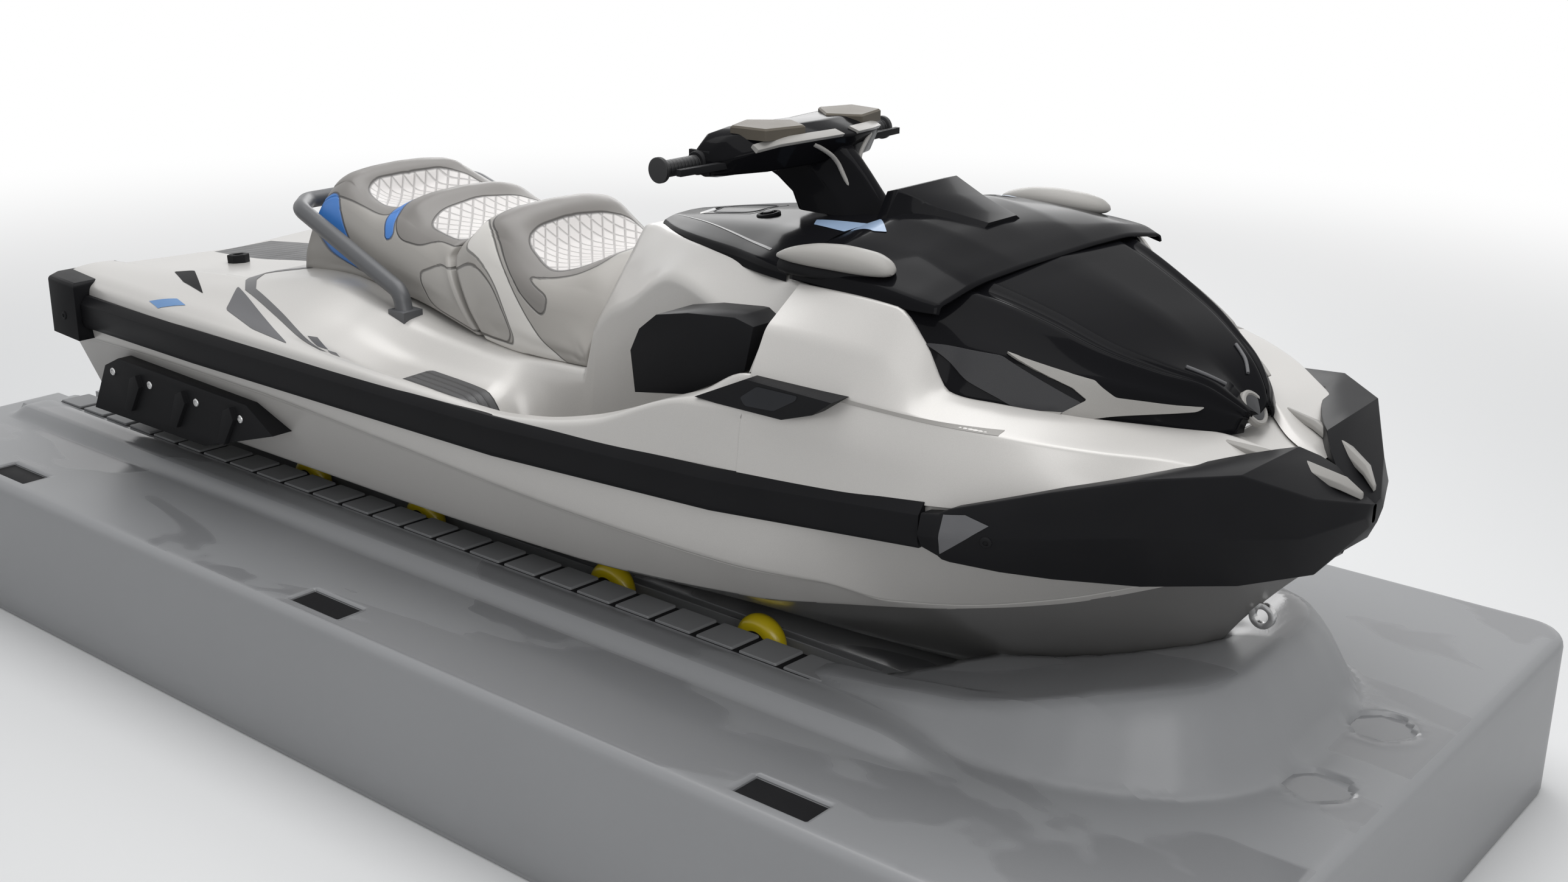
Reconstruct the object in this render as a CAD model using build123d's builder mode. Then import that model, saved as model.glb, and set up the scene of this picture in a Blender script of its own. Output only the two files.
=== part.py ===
from build123d import *
import math
import os

os.makedirs("parts", exist_ok=True)

# Three-seat personal watercraft standing on the drive-on float module that carries it ashore.
# Millimetres. +X runs to the bow, +Y to port, +Z up. The origin is under the middle of the float.
# Stations x are measured forward from the craft's stern, heights z up from its keel.

# Driving dimensions of the craft
craft_length = 3450.0
keel_rest = 290.0  # keel above the float's underside
stern_station = -1575.0  # the stern's place in the shared frame
rail_height = 84.0
sheer_aft, sheer_mid, sheer_fore = 488.0, 505.0, 585.0  # height of the bond between hull and deck
seam_gap = 5.0  # open seam round a moving lid
fit_gap = 0.3  # seat of a loose or soft piece on what carries it
shaft_play = 0.05  # radial play of a turning piece on its shaft
seat_aft, seam_foot, driver_length = 690.0, 1390.0, 348.0  # seats: rear, foot of their seam, driver's
seat_fore = seam_foot + driver_length

# Driving dimensions of the float
float_length = 4050.0
float_width = 1770.0
float_deck = 90.0  # float's deck above the keel's lowest line
trench_half = 365.0
trench_floor = -60.0
trench_end = 2700.0
ridge_y, ridge_half, ridge_top = 485.0, 85.0, 120.0
notch_aft, notch_pitch, notch_length, notch_count = -200.0, 230.0, 60.0, 12
edge_round = 28.0

stern_end = -450.0  # float's aft end, from the craft's stern


def across(x):
    """Plane across the craft at station x, holding (y, z)."""
    return Plane((stern_station + x, 0, keel_rest), x_dir=(0, 1, 0), z_dir=(1, 0, 0))


def along(y=0.0):
    """Upright plane along the craft at y, holding (x, z); its normal points to starboard."""
    return Plane((stern_station, y, keel_rest), x_dir=(1, 0, 0), z_dir=(0, -1, 0))


def level(z):
    """Level plane at height z above the keel, holding (x, y)."""
    return Plane((stern_station, 0, keel_rest + z), x_dir=(1, 0, 0), z_dir=(0, 0, 1))


def spot(x, y, z):
    """Point of the shared frame at station x, side y and height z."""
    return Vector(stern_station + x, y, keel_rest + z)


def both_sides(half):
    """Closed outline from its port half, whose points run from the bottom centre to the top."""
    return list(half) + [(-y, z) for y, z in reversed(half) if y > 0]


def ring(plane, points, radius=0.0):
    """Closed face of straight runs and corner arcs on a plane."""
    with BuildSketch(plane) as face:
        with BuildLine():
            if radius:
                FilletPolyline(*points, radius=radius, close=True)
            else:
                Polyline(*points, close=True)
        make_face()
    return face.sketch


def save(part, name):
    """Label a finished piece and write it."""
    part.label = name
    export_step(part, f"parts/{name}.step")


# Hull below the bond line: half widths and heights at each station
hull_stations = [
    # x, keel_z, chine_y, chine_z, step_y, step_z, lip_y, lip_z, side_y, side_z
    (60, 0, 475, 206, 553, 398, 560, 408, 572, 500),
    (500, 0, 486, 212, 566, 412, 574, 421, 590, 500),
    (900, 0, 492, 216, 574, 414, 583, 424, 598, 502),
    (1400, 0, 494, 218, 578, 398, 588, 408, 603, 506),
    (1900, 0, 488, 226, 574, 374, 585, 384, 601, 514),
    (2400, 6, 460, 264, 550, 362, 562, 373, 588, 528),
    (2600, 18, 430, 298, 500, 364, 522, 374, 573, 538),
    (2800, 44, 382, 330, 388, 337, 397, 344, 548, 549),
    (3000, 108, 305, 372, 312, 379, 320, 388, 500, 560),
    (3139, 194, 215, 412, 222, 420, 231, 428, 436, 568),
    (3231, 314, 140, 444, 146, 450, 156, 458, 372, 574),
    (3310, 424, 70, 478, 76, 484, 84, 490, 290, 580),
]
over_sheer = 640.0
deadrise = math.atan2(hull_stations[1][3] - hull_stations[1][1], hull_stations[1][2])

# Deck above the bond line and down into the footwells. Each row goes from the rail over the gunwale
# and its rim, down the well's outer side, up its inner side and over the waist to the top.
# Forward of the bulkhead the same columns are shoulder, crease, recess and hood seam.
bulkhead = 2440.0
deck_stations = [
    # x, rail_y, rail_z, gunwale_y, gunwale_z, rim_y, rim_z, outer_y, outer_z, inner_y, inner_z,
    # waist_y, waist_z, top_y, top_z
    (22, 556, 500, 550, 545, 520, 566, 480, 571, 440, 571, 400, 568, 362, 560),
    (520, 594, 510, 586, 555, 556, 574, 505, 586, 455, 598, 392, 609, 362, 606),
    (640, 598, 515, 590, 556, 560, 573, 508, 586, 455, 604, 388, 614, 350, 622),
    (905, 603, 520, 597, 557, 564, 569, 508, 577, 432, 610, 350, 647, 300, 648),
    (1090, 606, 525, 600, 557, 567, 565, 518, 550, 425, 572, 345, 614, 288, 622),
    (1300, 609, 527, 603, 556, 570, 560, 524, 512, 395, 517, 326, 572, 286, 577),
    (1540, 611, 528, 605, 552, 572, 553, 524, 500, 380, 500, 306, 545, 284, 557),
    (1650, 611, 528, 605, 549, 570, 549, 518, 372, 330, 364, 294, 530, 281, 562),
    (seat_fore + 7, 611, 528, 604, 547, 567, 547, 514, 362, 300, 362, 286, 545, 279, 566),
    (seat_fore + 19, 611, 528, 604, 547, 567, 547, 513, 362, 298, 362, 266, 660, 95, 868),
    (1900, 610, 530, 603, 560, 564, 561, 508, 362, 300, 362, 300, 752, 168, 884),
    (2063, 607, 540, 598, 592, 560, 600, 500, 362, 318, 362, 336, 842, 246, 892),
    (2335, 596, 556, 584, 690, 550, 705, 462, 362, 385, 362, 416, 796, 338, 898),
    (bulkhead, 590, 565, 577, 733, 541, 754, 434, 380, 414, 380, 430, 792, 388, 898),
    (bulkhead + 15, 590, 566, 576, 690, 546, 764, 506, 838, 460, 868, 404, 904, 380, 898),
    (2600, 574, 576, 562, 688, 537, 758, 500, 836, 465, 870, 426, 908, 412, 896),
    (2700, 562, 582, 550, 684, 528, 750, 490, 828, 462, 864, 430, 906, 414, 890),
    (2760, 553, 586, 540, 680, 521, 744, 480, 796, 458, 822, 432, 852, 414, 838),
    (2815, 545, 590, 531, 676, 513, 738, 470, 760, 450, 764, 430, 770, 412, 756),
    (2900, 527, 596, 510, 671, 490, 730, 425, 746, 405, 749, 386, 752, 370, 738),
    (3000, 497, 604, 477, 667, 452, 720, 352, 734, 335, 734.5, 318, 736, 302, 722),
    (3100, 454, 612, 430, 663, 392, 708, 240, 713, 227, 714, 214, 714, 200, 700),
    (3190, 400, 620, 370, 658, 312, 694, 150, 696, 135, 697, 120, 697, 104, 690),
    (3260, 346, 624, 312, 652, 252, 676, 92, 670, 77, 669.5, 62, 668, 40, 667),
    (3330, 274, 622, 242, 641, 192, 655, 60, 648, 45, 647.6, 30, 646.6, 15, 645),
]

# Hood shell: lower edge, shoulder, crown and centre at each station
hood_aft = 2408.0
hood_stations = [
    # x, edge_y, edge_z, shoulder_y, shoulder_z, crown_y, crown_z, centre_z
    (hood_aft, 382, 903, 290, 946, 150, 966, 972),
    (2500, 404, 905, 302, 968, 152, 996, 1002),
    (2620, 424, 906, 308, 964, 148, 982, 986),
    (2752, 426, 900, 300, 942, 140, 952, 956),
    (2764, 428, 842, 391, 882, 305, 918, 934),
    (2815, 426, 764, 384, 844, 288, 906, 920),
    (2900, 380, 747, 342, 822, 260, 876, 892),
    (3000, 312, 731, 282, 793, 226, 834, 854),
    (3090, 222, 714, 206, 766, 168, 798, 806),
    (3150, 168, 704, 150, 743, 118, 774, 770),
    (3200, 118, 700, 98, 722, 66, 744, 738),
]
hood_wall = 14.0

# Sheer surface: everything above it, as one solid that parts hull from deck
with BuildPart() as above_sheer:
    with BuildSketch(along()):
        with BuildLine():
            sheer = ThreePointArc((-60, sheer_aft), (craft_length / 2, sheer_mid),
                                  (craft_length + 60, sheer_fore))
            Polyline(sheer @ 1, (craft_length + 60, 1400), (-60, 1400), sheer @ 0)
        make_face()
    extrude(amount=800, both=True)

# Footwell tub, let into the hull
tub_aft, tub_fore, tub_floor, tub_half = 1340.0, 2480.0, 345.0, 535.0
tub_bow = [(2000.0, tub_half), (2370.0, 492.0), (tub_fore, 458.0)]
with BuildPart() as tub:
    extrude(ring(level(tub_floor), [(tub_aft, -tub_half), (tub_aft, tub_half), *tub_bow,
                                    *[(x, -y) for x, y in reversed(tub_bow)]]), amount=300)
    add(above_sheer.part, mode=Mode.SUBTRACT)

# Engine room under the tub, and the pump tunnel and water intake under the stern
engine_aft, engine_length, engine_width, engine_height = 1150.0, 640.0, 400.0, 230.0
engine_floor, engine_air = 90.0, 25.0
tunnel_fore, tunnel_half, tunnel_top = 430.0, 168.0, 352.0
intake_aft, intake_fore, intake_half, intake_top = 600.0, 950.0, 85.0, 110.0

# Water jet sizes that the hull's shaft bore takes up
pump_z, pump_radius, pump_wall = 168.0, 92.0, 8.0
shaft_radius, shaft_seat = 12.0, 40.0

with BuildPart() as hull_form:
    for x, keel_z, chine_y, chine_z, step_y, step_z, lip_y, lip_z, side_y, side_z in hull_stations:
        half = [(0, keel_z), (chine_y, chine_z), (step_y, step_z), (lip_y, lip_z), (side_y, side_z),
                (side_y, over_sheer)]
        add(ring(across(x), both_sides(half)))
    loft(ruled=True)
    add(above_sheer.part, mode=Mode.SUBTRACT)

with BuildPart() as hull:
    add(hull_form.part)
    add(tub.part, mode=Mode.SUBTRACT)
    with BuildSketch(level(engine_floor)):
        with Locations((engine_aft + engine_length / 2, 0)):
            Rectangle(engine_length + 2 * engine_air, engine_width)
    extrude(amount=tub_floor - engine_floor, mode=Mode.SUBTRACT)
    with BuildSketch(level(-20)):
        with Locations((tunnel_fore / 2 - 10, 0)):
            Rectangle(tunnel_fore + 20, 2 * tunnel_half)
    extrude(amount=tunnel_top + 20, mode=Mode.SUBTRACT)
    with BuildSketch(level(-20)):
        with Locations(((intake_aft + intake_fore) / 2, 0)):
            Rectangle(intake_fore - intake_aft, 2 * intake_half)
    extrude(amount=intake_top + 20, mode=Mode.SUBTRACT)
    with BuildSketch(across(tunnel_fore - 1)):
        with Locations((0, pump_z)):
            Circle(shaft_radius + shaft_play)
    extrude(amount=shaft_seat + 1, mode=Mode.SUBTRACT)

with BuildPart() as engine_block:
    with BuildSketch(level(engine_floor)):
        with Locations((engine_aft + engine_length / 2, 0)):
            Rectangle(engine_length, engine_width - 2 * engine_air)
    extrude(amount=engine_height)

# Outer form of the hood, closed underneath; the lid itself is hollowed from it
with BuildPart() as hood_form:
    for x, edge_y, edge_z, shoulder_y, shoulder_z, crown_y, crown_z, centre_z in hood_stations:
        add(ring(across(x), both_sides([(edge_y, edge_z), (shoulder_y, shoulder_z), (crown_y, crown_z),
                                        (0, centre_z)])))
    loft(ruled=True)

platform_aft, platform_fore, platform_half = 534.0, 590.0, 372.0  # heights, then half width
platform_end = 638.0
bin_aft, bin_fore, bin_half, bin_floor = 2430.0, 2930.0, 235.0, 585.0
glove_aft, glove_length, glove_half, glove_floor = 1880.0, 170.0, 70.0, 760.0
glove_fore = glove_aft + glove_length

hinge_x, hinge_z, hinge_pin, hinge_pocket = 3208.0, 694.0, 5.0, 46.0
with BuildPart() as hood_hinge_pin:
    with BuildSketch(along()):
        with Locations((hinge_x, hinge_z)):
            Circle(hinge_pin)
    extrude(amount=hinge_pocket + 12, both=True)

# What the deck may fill: the space above the bond line and the tub below it
with BuildPart() as deck_room:
    add(above_sheer.part)
    add(tub.part)

with BuildPart() as deck:
    for x, *columns in deck_stations:
        half = list(zip(columns[0::2], columns[1::2]))
        add(ring(across(x), both_sides([(half[0][0], tub_floor), *half])))
    loft(ruled=True)
    add(deck_room.part, mode=Mode.INTERSECT)
    # Rear platform let down between the side pods
    with BuildSketch(along()):
        with BuildLine():
            Polyline((-20, platform_aft), (platform_end, platform_fore), (platform_end, 800), (-20, 800),
                     close=True)
        make_face()
    extrude(amount=platform_half, both=True, mode=Mode.SUBTRACT)
    # Storage bin under the hood and glovebox in the console
    with BuildSketch(level(bin_floor)):
        with Locations(((bin_aft + bin_fore) / 2, 0)):
            Rectangle(bin_fore - bin_aft, 2 * bin_half)
    extrude(amount=500, mode=Mode.SUBTRACT)
    with BuildSketch(level(glove_floor)):
        with Locations(((glove_aft + glove_fore) / 2, 0)):
            Rectangle(glove_fore - glove_aft, 2 * glove_half)
    extrude(amount=300, mode=Mode.SUBTRACT)
    add(hood_form.part, mode=Mode.SUBTRACT)
    add(hood_form.part.moved(Location((0, 0, -seam_gap))), mode=Mode.SUBTRACT)
    with BuildSketch(level(hinge_z - 14)):
        with Locations((hinge_x, 0)):
            Rectangle(36, 2 * hinge_pocket)
    extrude(amount=60, mode=Mode.SUBTRACT)
    add(hood_hinge_pin.part, mode=Mode.SUBTRACT)

# The moulding in four lengths: stern, shallow wells, deep wells with the console between them, and bow
deck_joints = [-60.0, 1300.0, 1655.0, bin_aft, craft_length + 60]
deck_lengths = []
for joint_aft, joint_fore in zip(deck_joints, deck_joints[1:]):
    with BuildPart() as deck_length:
        with BuildSketch(level(-200)):
            with Locations(((joint_aft + joint_fore) / 2, 0)):
                Rectangle(joint_fore - joint_aft, 2000)
        extrude(amount=2000)
        add(deck.part, mode=Mode.INTERSECT)
    deck_lengths.append(deck_length)
stern_deck, knee_deck, well_deck, bow_deck = deck_lengths

# Hood lid: the form with its inside taken out, hinged on a pin across the nose
with BuildPart() as hood:
    add(hood_form.part)
    for x, edge_y, edge_z, shoulder_y, shoulder_z, crown_y, crown_z, centre_z in hood_stations[:-1]:
        inside_x = x + (hood_wall if x == hood_aft else 0)
        drop = 1.4 * hood_wall
        add(ring(across(inside_x), both_sides([(edge_y - 1.6 * hood_wall, edge_z - 60),
                                               (shoulder_y - 1.2 * hood_wall, shoulder_z - drop),
                                               (crown_y - hood_wall, crown_z - drop), (0, centre_z - drop)])))
    loft(ruled=True, mode=Mode.SUBTRACT)
    for side in (-1, 1):
        with BuildSketch(along(side * 12)):
            Polygon((hinge_x - 12, hinge_z + 20), (hinge_x - 9, hinge_z - 7), (hinge_x + 8, hinge_z - 7),
                    (hinge_x + 8, hinge_z + 9), align=None)
        extrude(amount=-side * 22)
    with BuildSketch(along()):
        with Locations((hinge_x, hinge_z)):
            Circle(hinge_pin + shaft_play)
    extrude(amount=hinge_pocket, both=True, mode=Mode.SUBTRACT)

# Console top behind the steering column, with the glovebox mouth
console_aft = 1806.0
console_fore = glove_fore + 350.0
console_stations = [
    # x, edge_y, edge_z, crown_y, crown_z
    (console_aft, 90, 858, 55, 886),
    (1900, 160, 868, 95, 904),
    (2063, 236, 874, 142, 924),
    (console_fore - 120, 310, 880, 190, 946),
    (console_fore, 374, 884, 225, 952),
]
lid_wall, lid_pin, lid_turn = 14.0, 3.0, 11.0
lid_hinge_x, lid_hinge_z = glove_aft + seam_gap + lid_turn, 894.0
with BuildPart() as console_form:
    for x, edge_y, edge_z, crown_y, crown_z in console_stations:
        add(ring(across(x), both_sides([(edge_y, edge_z - 40), (edge_y, edge_z), (crown_y, crown_z)])))
    loft(ruled=True)

with BuildPart() as lid_hinge_pin:
    with BuildSketch(along()):
        with Locations((lid_hinge_x, lid_hinge_z)):
            Circle(lid_pin)
    extrude(amount=glove_half + 10, both=True)

with BuildPart() as console:
    add(console_form.part)
    add(deck.part, mode=Mode.SUBTRACT)
    with BuildSketch(level(glove_floor)):
        with Locations(((glove_aft + glove_fore) / 2, 0)):
            Rectangle(glove_fore - glove_aft, 2 * glove_half)
    extrude(amount=300, mode=Mode.SUBTRACT)
    add(lid_hinge_pin.part, mode=Mode.SUBTRACT)

# Glovebox lid, flush with the console and hinged along its aft edge
with BuildPart() as glove_lid:
    with BuildSketch(level(lid_hinge_z - lid_wall)):
        with Locations(((glove_aft + glove_fore) / 2, 0)):
            Rectangle(glove_fore - glove_aft - 2 * seam_gap, 2 * (glove_half - seam_gap))
    extrude(amount=80)
    add(console_form.part, mode=Mode.INTERSECT)
    # Aft edge rounded about the pin, so that it turns in its mouth
    with BuildSketch(along()):
        with Locations((lid_hinge_x, lid_hinge_z)):
            Rectangle(40, 60, align=(Align.MAX, Align.CENTER))
            Circle(lid_turn, mode=Mode.SUBTRACT)
            Circle(lid_pin + shaft_play)
    extrude(amount=glove_half, both=True, mode=Mode.SUBTRACT)

with BuildPart() as lid_pins:
    add(lid_hinge_pin.part)
    add(hood_hinge_pin.part)

# Key post recess beside the column
with BuildPart() as key_post:
    with BuildSketch(Plane(spot(glove_fore + 45, -70, 905), z_dir=(0, 0, 1))):
        Circle(22)
    extrude(amount=26)
    add(console.part, mode=Mode.SUBTRACT)

# Steering column standing out of the console; the bar and its cover turn on it
steer_x, steer_z, steer_tilt, column_radius = glove_fore + 178, 940.0, 25.0, 20.0
column_axis = (-math.sin(math.radians(steer_tilt)), 0, math.cos(math.radians(steer_tilt)))
column_length = 95.0
with BuildPart() as steering_column:
    with BuildSketch(Plane(spot(steer_x, 0, steer_z) - 40 * Vector(*column_axis), z_dir=column_axis)):
        Circle(column_radius)
    extrude(amount=40 + column_length)
    add(console.part, mode=Mode.SUBTRACT)
    add(deck.part, mode=Mode.SUBTRACT)

# Rub rails along the bond line, ends under the bumpers
rail_stations = [
    # x, outer_y, centre_z
    (150.0, 596.0, 488.0),
    (700.0, 618.0, 495.0),
    (1800.0, 627.5, 508.0),
    (2400.0, 614.0, 532.0),
    (2850.0, 559.0, 557.0),
]
with BuildPart() as rub_rail_port:
    for x, outer_y, centre_z in rail_stations:
        low, high = centre_z - rail_height / 2, centre_z + rail_height / 2
        add(ring(across(x), [(outer_y - 50, low), (outer_y - 6, low), (outer_y, low + 14),
                         (outer_y, high - 20), (outer_y - 16, high), (outer_y - 50, high)]))
    loft(ruled=True)
    add(hull.part, mode=Mode.SUBTRACT)
    add(deck.part, mode=Mode.SUBTRACT)

# Bow bumper wrapped round the nose
bumper_stations = [
    # x, low_y, low_z, wide_y, wide_z, high_y, high_z, centre_z
    (2850.0, 566.0, 522.0, 577.0, 548.0, 570.0, 592.0, 592.0),
    (2916.0, 555.0, 508.0, 569.0, 560.0, 556.0, 606.0, 606.0),
    (3080.0, 480.0, 498.0, 507.0, 580.0, 497.0, 660.0, 640.0),
    (3203.0, 392.0, 490.0, 428.0, 590.0, 418.0, 690.0, 650.0),
    (3324.0, 265.0, 484.0, 308.0, 582.0, 290.0, 692.0, 640.0),
    (3400.0, 120.0, 480.0, 190.0, 568.0, 150.0, 628.0, 612.0),
    (craft_length, 18.0, 552.0, 40.0, 574.0, 22.0, 594.0, 596.0),
]
bin_clear = 40.0
with BuildPart() as bow_bumper:
    for x, low_y, low_z, wide_y, wide_z, high_y, high_z, centre_z in bumper_stations:
        add(ring(across(x), both_sides([(low_y, low_z), (wide_y, wide_z), (high_y, high_z),
                                        (0, centre_z)])))
    loft(ruled=True)
    with BuildSketch(level(sheer_mid)):
        with Locations(((bumper_stations[0][0] + hinge_x + bin_clear) / 2, 0)):
            Rectangle(hinge_x + bin_clear - bumper_stations[0][0], 2 * bin_half + 10)
    extrude(amount=hinge_z - sheer_mid + bin_clear, mode=Mode.SUBTRACT)
    add(hull.part, mode=Mode.SUBTRACT)
    add(deck.part, mode=Mode.SUBTRACT)
    add(rub_rail_port.part, mode=Mode.SUBTRACT)
    add(mirror(rub_rail_port.part, about=Plane.XZ), mode=Mode.SUBTRACT)

# Stern corner bumpers
with BuildPart() as stern_bumper_port:
    with BuildSketch(level(412)):
        with BuildLine():
            Polyline((0, 380), (0, 560), (30, 600), (175, 612), (175, 520), (60, 380), close=True)
        make_face()
    extrude(amount=155)
    fillet(stern_bumper_port.edges().group_by(Axis.Z)[-1], 12)
    add(hull.part, mode=Mode.SUBTRACT)
    add(deck.part, mode=Mode.SUBTRACT)
    add(rub_rail_port.part, mode=Mode.SUBTRACT)

# Sponson fins on the hull sides, with three hooked ribs each
sponson_outline = [(189, 229), (262, 360), (329, 391), (888, 380), (988, 322), (694, 232)]
rib_aft, rib_step, rib_count = 360.0, 205.0, 3
sponson_face = 596.0
with BuildPart() as sponson_port:
    with BuildSketch(along(sponson_face)):
        with BuildLine():
            Polyline(*sponson_outline, close=True)
        make_face()
    extrude(amount=130)
    for index in range(rib_count):
        foot = rib_aft + index * rib_step
        hook = [(foot, 262), (foot + 30, 262), (foot + 78, 335), (foot + 66, 366), (foot + 38, 352)]
        extrude(ring(along(sponson_face + 14), hook), amount=14)
    add(hull.part, mode=Mode.SUBTRACT)

# Seats: passenger seat behind, driver seat in front, one sloping seam between them
seat_flank, seat_waist, seat_seam = 280.0, 205.0, 6.0


def seat_foot(fore, aft):
    """Underside of a seat from fore to aft, a fit gap above the tops of the deck's sections."""
    bed = [(row[0], row[-1]) for row in deck_stations]

    def height(x):
        for (x_a, z_a), (x_b, z_b) in zip(bed, bed[1:]):
            if x_a <= x <= x_b:
                return z_a + (z_b - z_a) * (x - x_a) / (x_b - x_a)

    between = [x for x, z in reversed(bed) if aft < x < fore]
    return [(x, height(x) + fit_gap) for x in (fore, *between, aft)]


passenger_profile = [(seat_aft + 55, 800), (seat_aft + 62, 866), (seat_aft + 100, 880), (880, 800),
                     (950, 795), (1005, 842), (1050, 848), (1110, 792), (1240, 772)]
driver_profile = [(1250, 768), (1310, 835), (1360, 858), (1420, 822), (1500, 752), (1590, 752),
                  (1640, 786), (seat_fore, 735)]


def seat_solid(profile):
    """Cushion of one side profile, narrower at the top than at its foot."""
    with BuildPart() as seat:
        extrude(ring(along(), profile), amount=seat_flank + 15, both=True)
        with BuildSketch(across(500)):
            with BuildLine():
                Polyline((seat_flank - 12, 500), (seat_flank, 680), (seat_waist, 900), (-seat_waist, 900),
                         (-seat_flank, 680), (-seat_flank + 12, 500), close=True)
            make_face()
        extrude(amount=1400, mode=Mode.INTERSECT)
    return seat.part


with BuildPart() as passenger_seat:
    add(seat_solid(passenger_profile + seat_foot(seam_foot, seat_aft)))
with BuildPart() as driver_seat:
    add(seat_solid(driver_profile + seat_foot(seat_fore, seam_foot + seat_seam)))

# Grab rail round the back of the passenger seat
grab_radius = 21.0
rail_foot_x, rail_foot_y, rail_back_x = seat_aft + 485, 318.0, seat_aft - 24
with BuildPart() as grab_rail:
    with BuildLine():
        half_rail = [(rail_foot_x, rail_foot_y, 560), (rail_foot_x - 22, rail_foot_y, 655),
                     (seat_aft + 50, 290, 796), (rail_back_x, 215, 797)]
        FilletPolyline(*[spot(x, -y, z) for x, y, z in half_rail],
                       *[spot(x, y, z) for x, y, z in reversed(half_rail)], radius=[40, 60, 50, 50, 60, 40])
    with BuildSketch(Plane(spot(rail_foot_x, -rail_foot_y, 560), z_dir=(-22, 0, 95))):
        Circle(grab_radius)
    sweep()
    for side in (-1, 1):
        with BuildSketch(level(575)):
            with Locations((rail_foot_x - 8, side * rail_foot_y)):
                Rectangle(58, 58)
        extrude(amount=40)
    add(deck.part, mode=Mode.SUBTRACT)

# Traction mat on the rear platform
mat_thickness = 8.0
platform_slope = math.degrees(math.atan2(platform_fore - platform_aft, platform_end + 20))
platform = Plane(spot(-20, 0, platform_aft), x_dir=(platform_end + 20, 0, platform_fore - platform_aft),
                 z_dir=(platform_aft - platform_fore, 0, platform_end + 20))
anchor_x, anchor_y, anchor_flats, anchor_height, anchor_bore = 325.0, 190.0, 52.0, 34.0, 14.0
with BuildPart() as rear_deck_mat:
    extrude(ring(platform, [(70, -350), (60, 350), (600, 350), (600, -350)]), amount=mat_thickness)
    with BuildSketch(platform):
        with Locations((anchor_x, -anchor_y), (anchor_x, anchor_y)):
            RegularPolygon(anchor_flats / 2 + 4, 6, major_radius=False)
    extrude(amount=mat_thickness, mode=Mode.SUBTRACT)

# Two hexagonal cargo anchors standing on the platform
with BuildPart() as cargo_anchors:
    with BuildSketch(platform):
        with Locations((anchor_x, -anchor_y), (anchor_x, anchor_y)):
            RegularPolygon(anchor_flats / 2, 6, major_radius=False)
            Circle(anchor_bore, mode=Mode.SUBTRACT)
    extrude(amount=anchor_height)

# Wind deflector, gauge and mirrors carried by the hood
with BuildPart() as wind_deflector:
    for x, half_low, half_high, low, high in [(2428, 156, 100, 950, 1034), (2456, 166, 104, 950, 1042),
                                              (2540, 160, 82, 950, 1014), (2640, 124, 50, 950, 992)]:
        add(ring(across(x), both_sides([(half_low, low), (half_high, high)])))
    loft(ruled=True)
    add(hood_form.part, mode=Mode.SUBTRACT)

with BuildPart() as gauge:
    extrude(ring(along(), [(2396, 965), (2420, 1024), (2427, 1024), (2427, 950)]), amount=85, both=True)
    add(hood_form.part, mode=Mode.SUBTRACT)

with BuildPart() as mirror_port:
    for x, inner, outer, low, high in [(2383, 366, 406, 930, 954), (2430, 330, 424, 890, 972),
                                       (2533, 318, 426, 890, 988), (2620, 330, 420, 890, 984),
                                       (2657, 360, 408, 940, 972)]:
        add(ring(across(x), [(inner, low), (outer, low + 10), (outer - 20, high), (inner, high)]))
    loft(ruled=True)
    add(hood_form.part, mode=Mode.SUBTRACT)
    add(deck.part, mode=Mode.SUBTRACT)
    add(deck.part.moved(Location((0, 0, seam_gap))), mode=Mode.SUBTRACT)

# Spear-shaped trims on the hood's flanks
spear_wall = 5.0
spear_outline = [(2870, 842), (3040, 792), (3162, 756), (3050, 740), (2955, 735), (3005, 765)]
with BuildPart() as hood_spears:
    for side in (-1, 1):
        extrude(ring(along(), spear_outline), amount=-side * 400)
    add(hood_form.part.moved(Location((0, 0, spear_wall))), mode=Mode.INTERSECT)
    add(hood_form.part, mode=Mode.SUBTRACT)

# Steering: column boot and cover that turn with the bar
bar_x, bar_z, bar_radius = 2062.0, 1068.0, 14.0
grip_inner, grip_outer, grip_radius = 258.0, 380.0, 17.5
neck_outline = [(2365, 978), (2300, 966), (2180, 962), (2150, 966), (2112, 1007), (2030, 1034), (2000, 1060),
                (2010, 1092), (2070, 1122), (2190, 1118), (2250, 1090), (2312, 1034)]
with BuildPart() as steering_cover:
    extrude(ring(along(), neck_outline, radius=10), amount=58, both=True)
    with BuildSketch(Plane(spot(steer_x, 0, steer_z), z_dir=column_axis)):
        Circle(column_radius + shaft_play)
    extrude(amount=column_length + 1, mode=Mode.SUBTRACT)
    with BuildSketch(along()):
        with Locations((bar_x, bar_z)):
            Circle(bar_radius)
    extrude(amount=400, both=True, mode=Mode.SUBTRACT)

with BuildPart() as bar_pad:
    extrude(ring(along(), [(1995, 1080), (2010, 1084), (2120, 1104), (2180, 1088), (2150, 1132), (2060, 1138),
                           (2000, 1118)]), amount=250, both=True)
    # Ends that fall away towards the grips
    with BuildSketch(across(1900)):
        Polygon((-250, 1040), (-250, 1092), (-150, 1142), (150, 1142), (250, 1092), (250, 1040), align=None)
    extrude(amount=400, mode=Mode.INTERSECT)
    add(steering_cover.part, mode=Mode.SUBTRACT)

with BuildPart() as handlebar:
    with BuildSketch(along()):
        with Locations((bar_x, bar_z)):
            Circle(bar_radius)
    extrude(amount=grip_outer - 8, both=True)

with BuildPart() as grips:
    for side in (-1, 1):
        with BuildSketch(along(side * grip_inner)):
            with Locations((bar_x, bar_z)):
                Circle(grip_radius)
        extrude(amount=-side * (grip_outer - grip_inner))
        with BuildSketch(along(side * (grip_outer - 10))):
            with Locations((bar_x, bar_z)):
                Circle(grip_radius + 9)
        extrude(amount=-side * 10)
    add(handlebar.part, mode=Mode.SUBTRACT)

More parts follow.
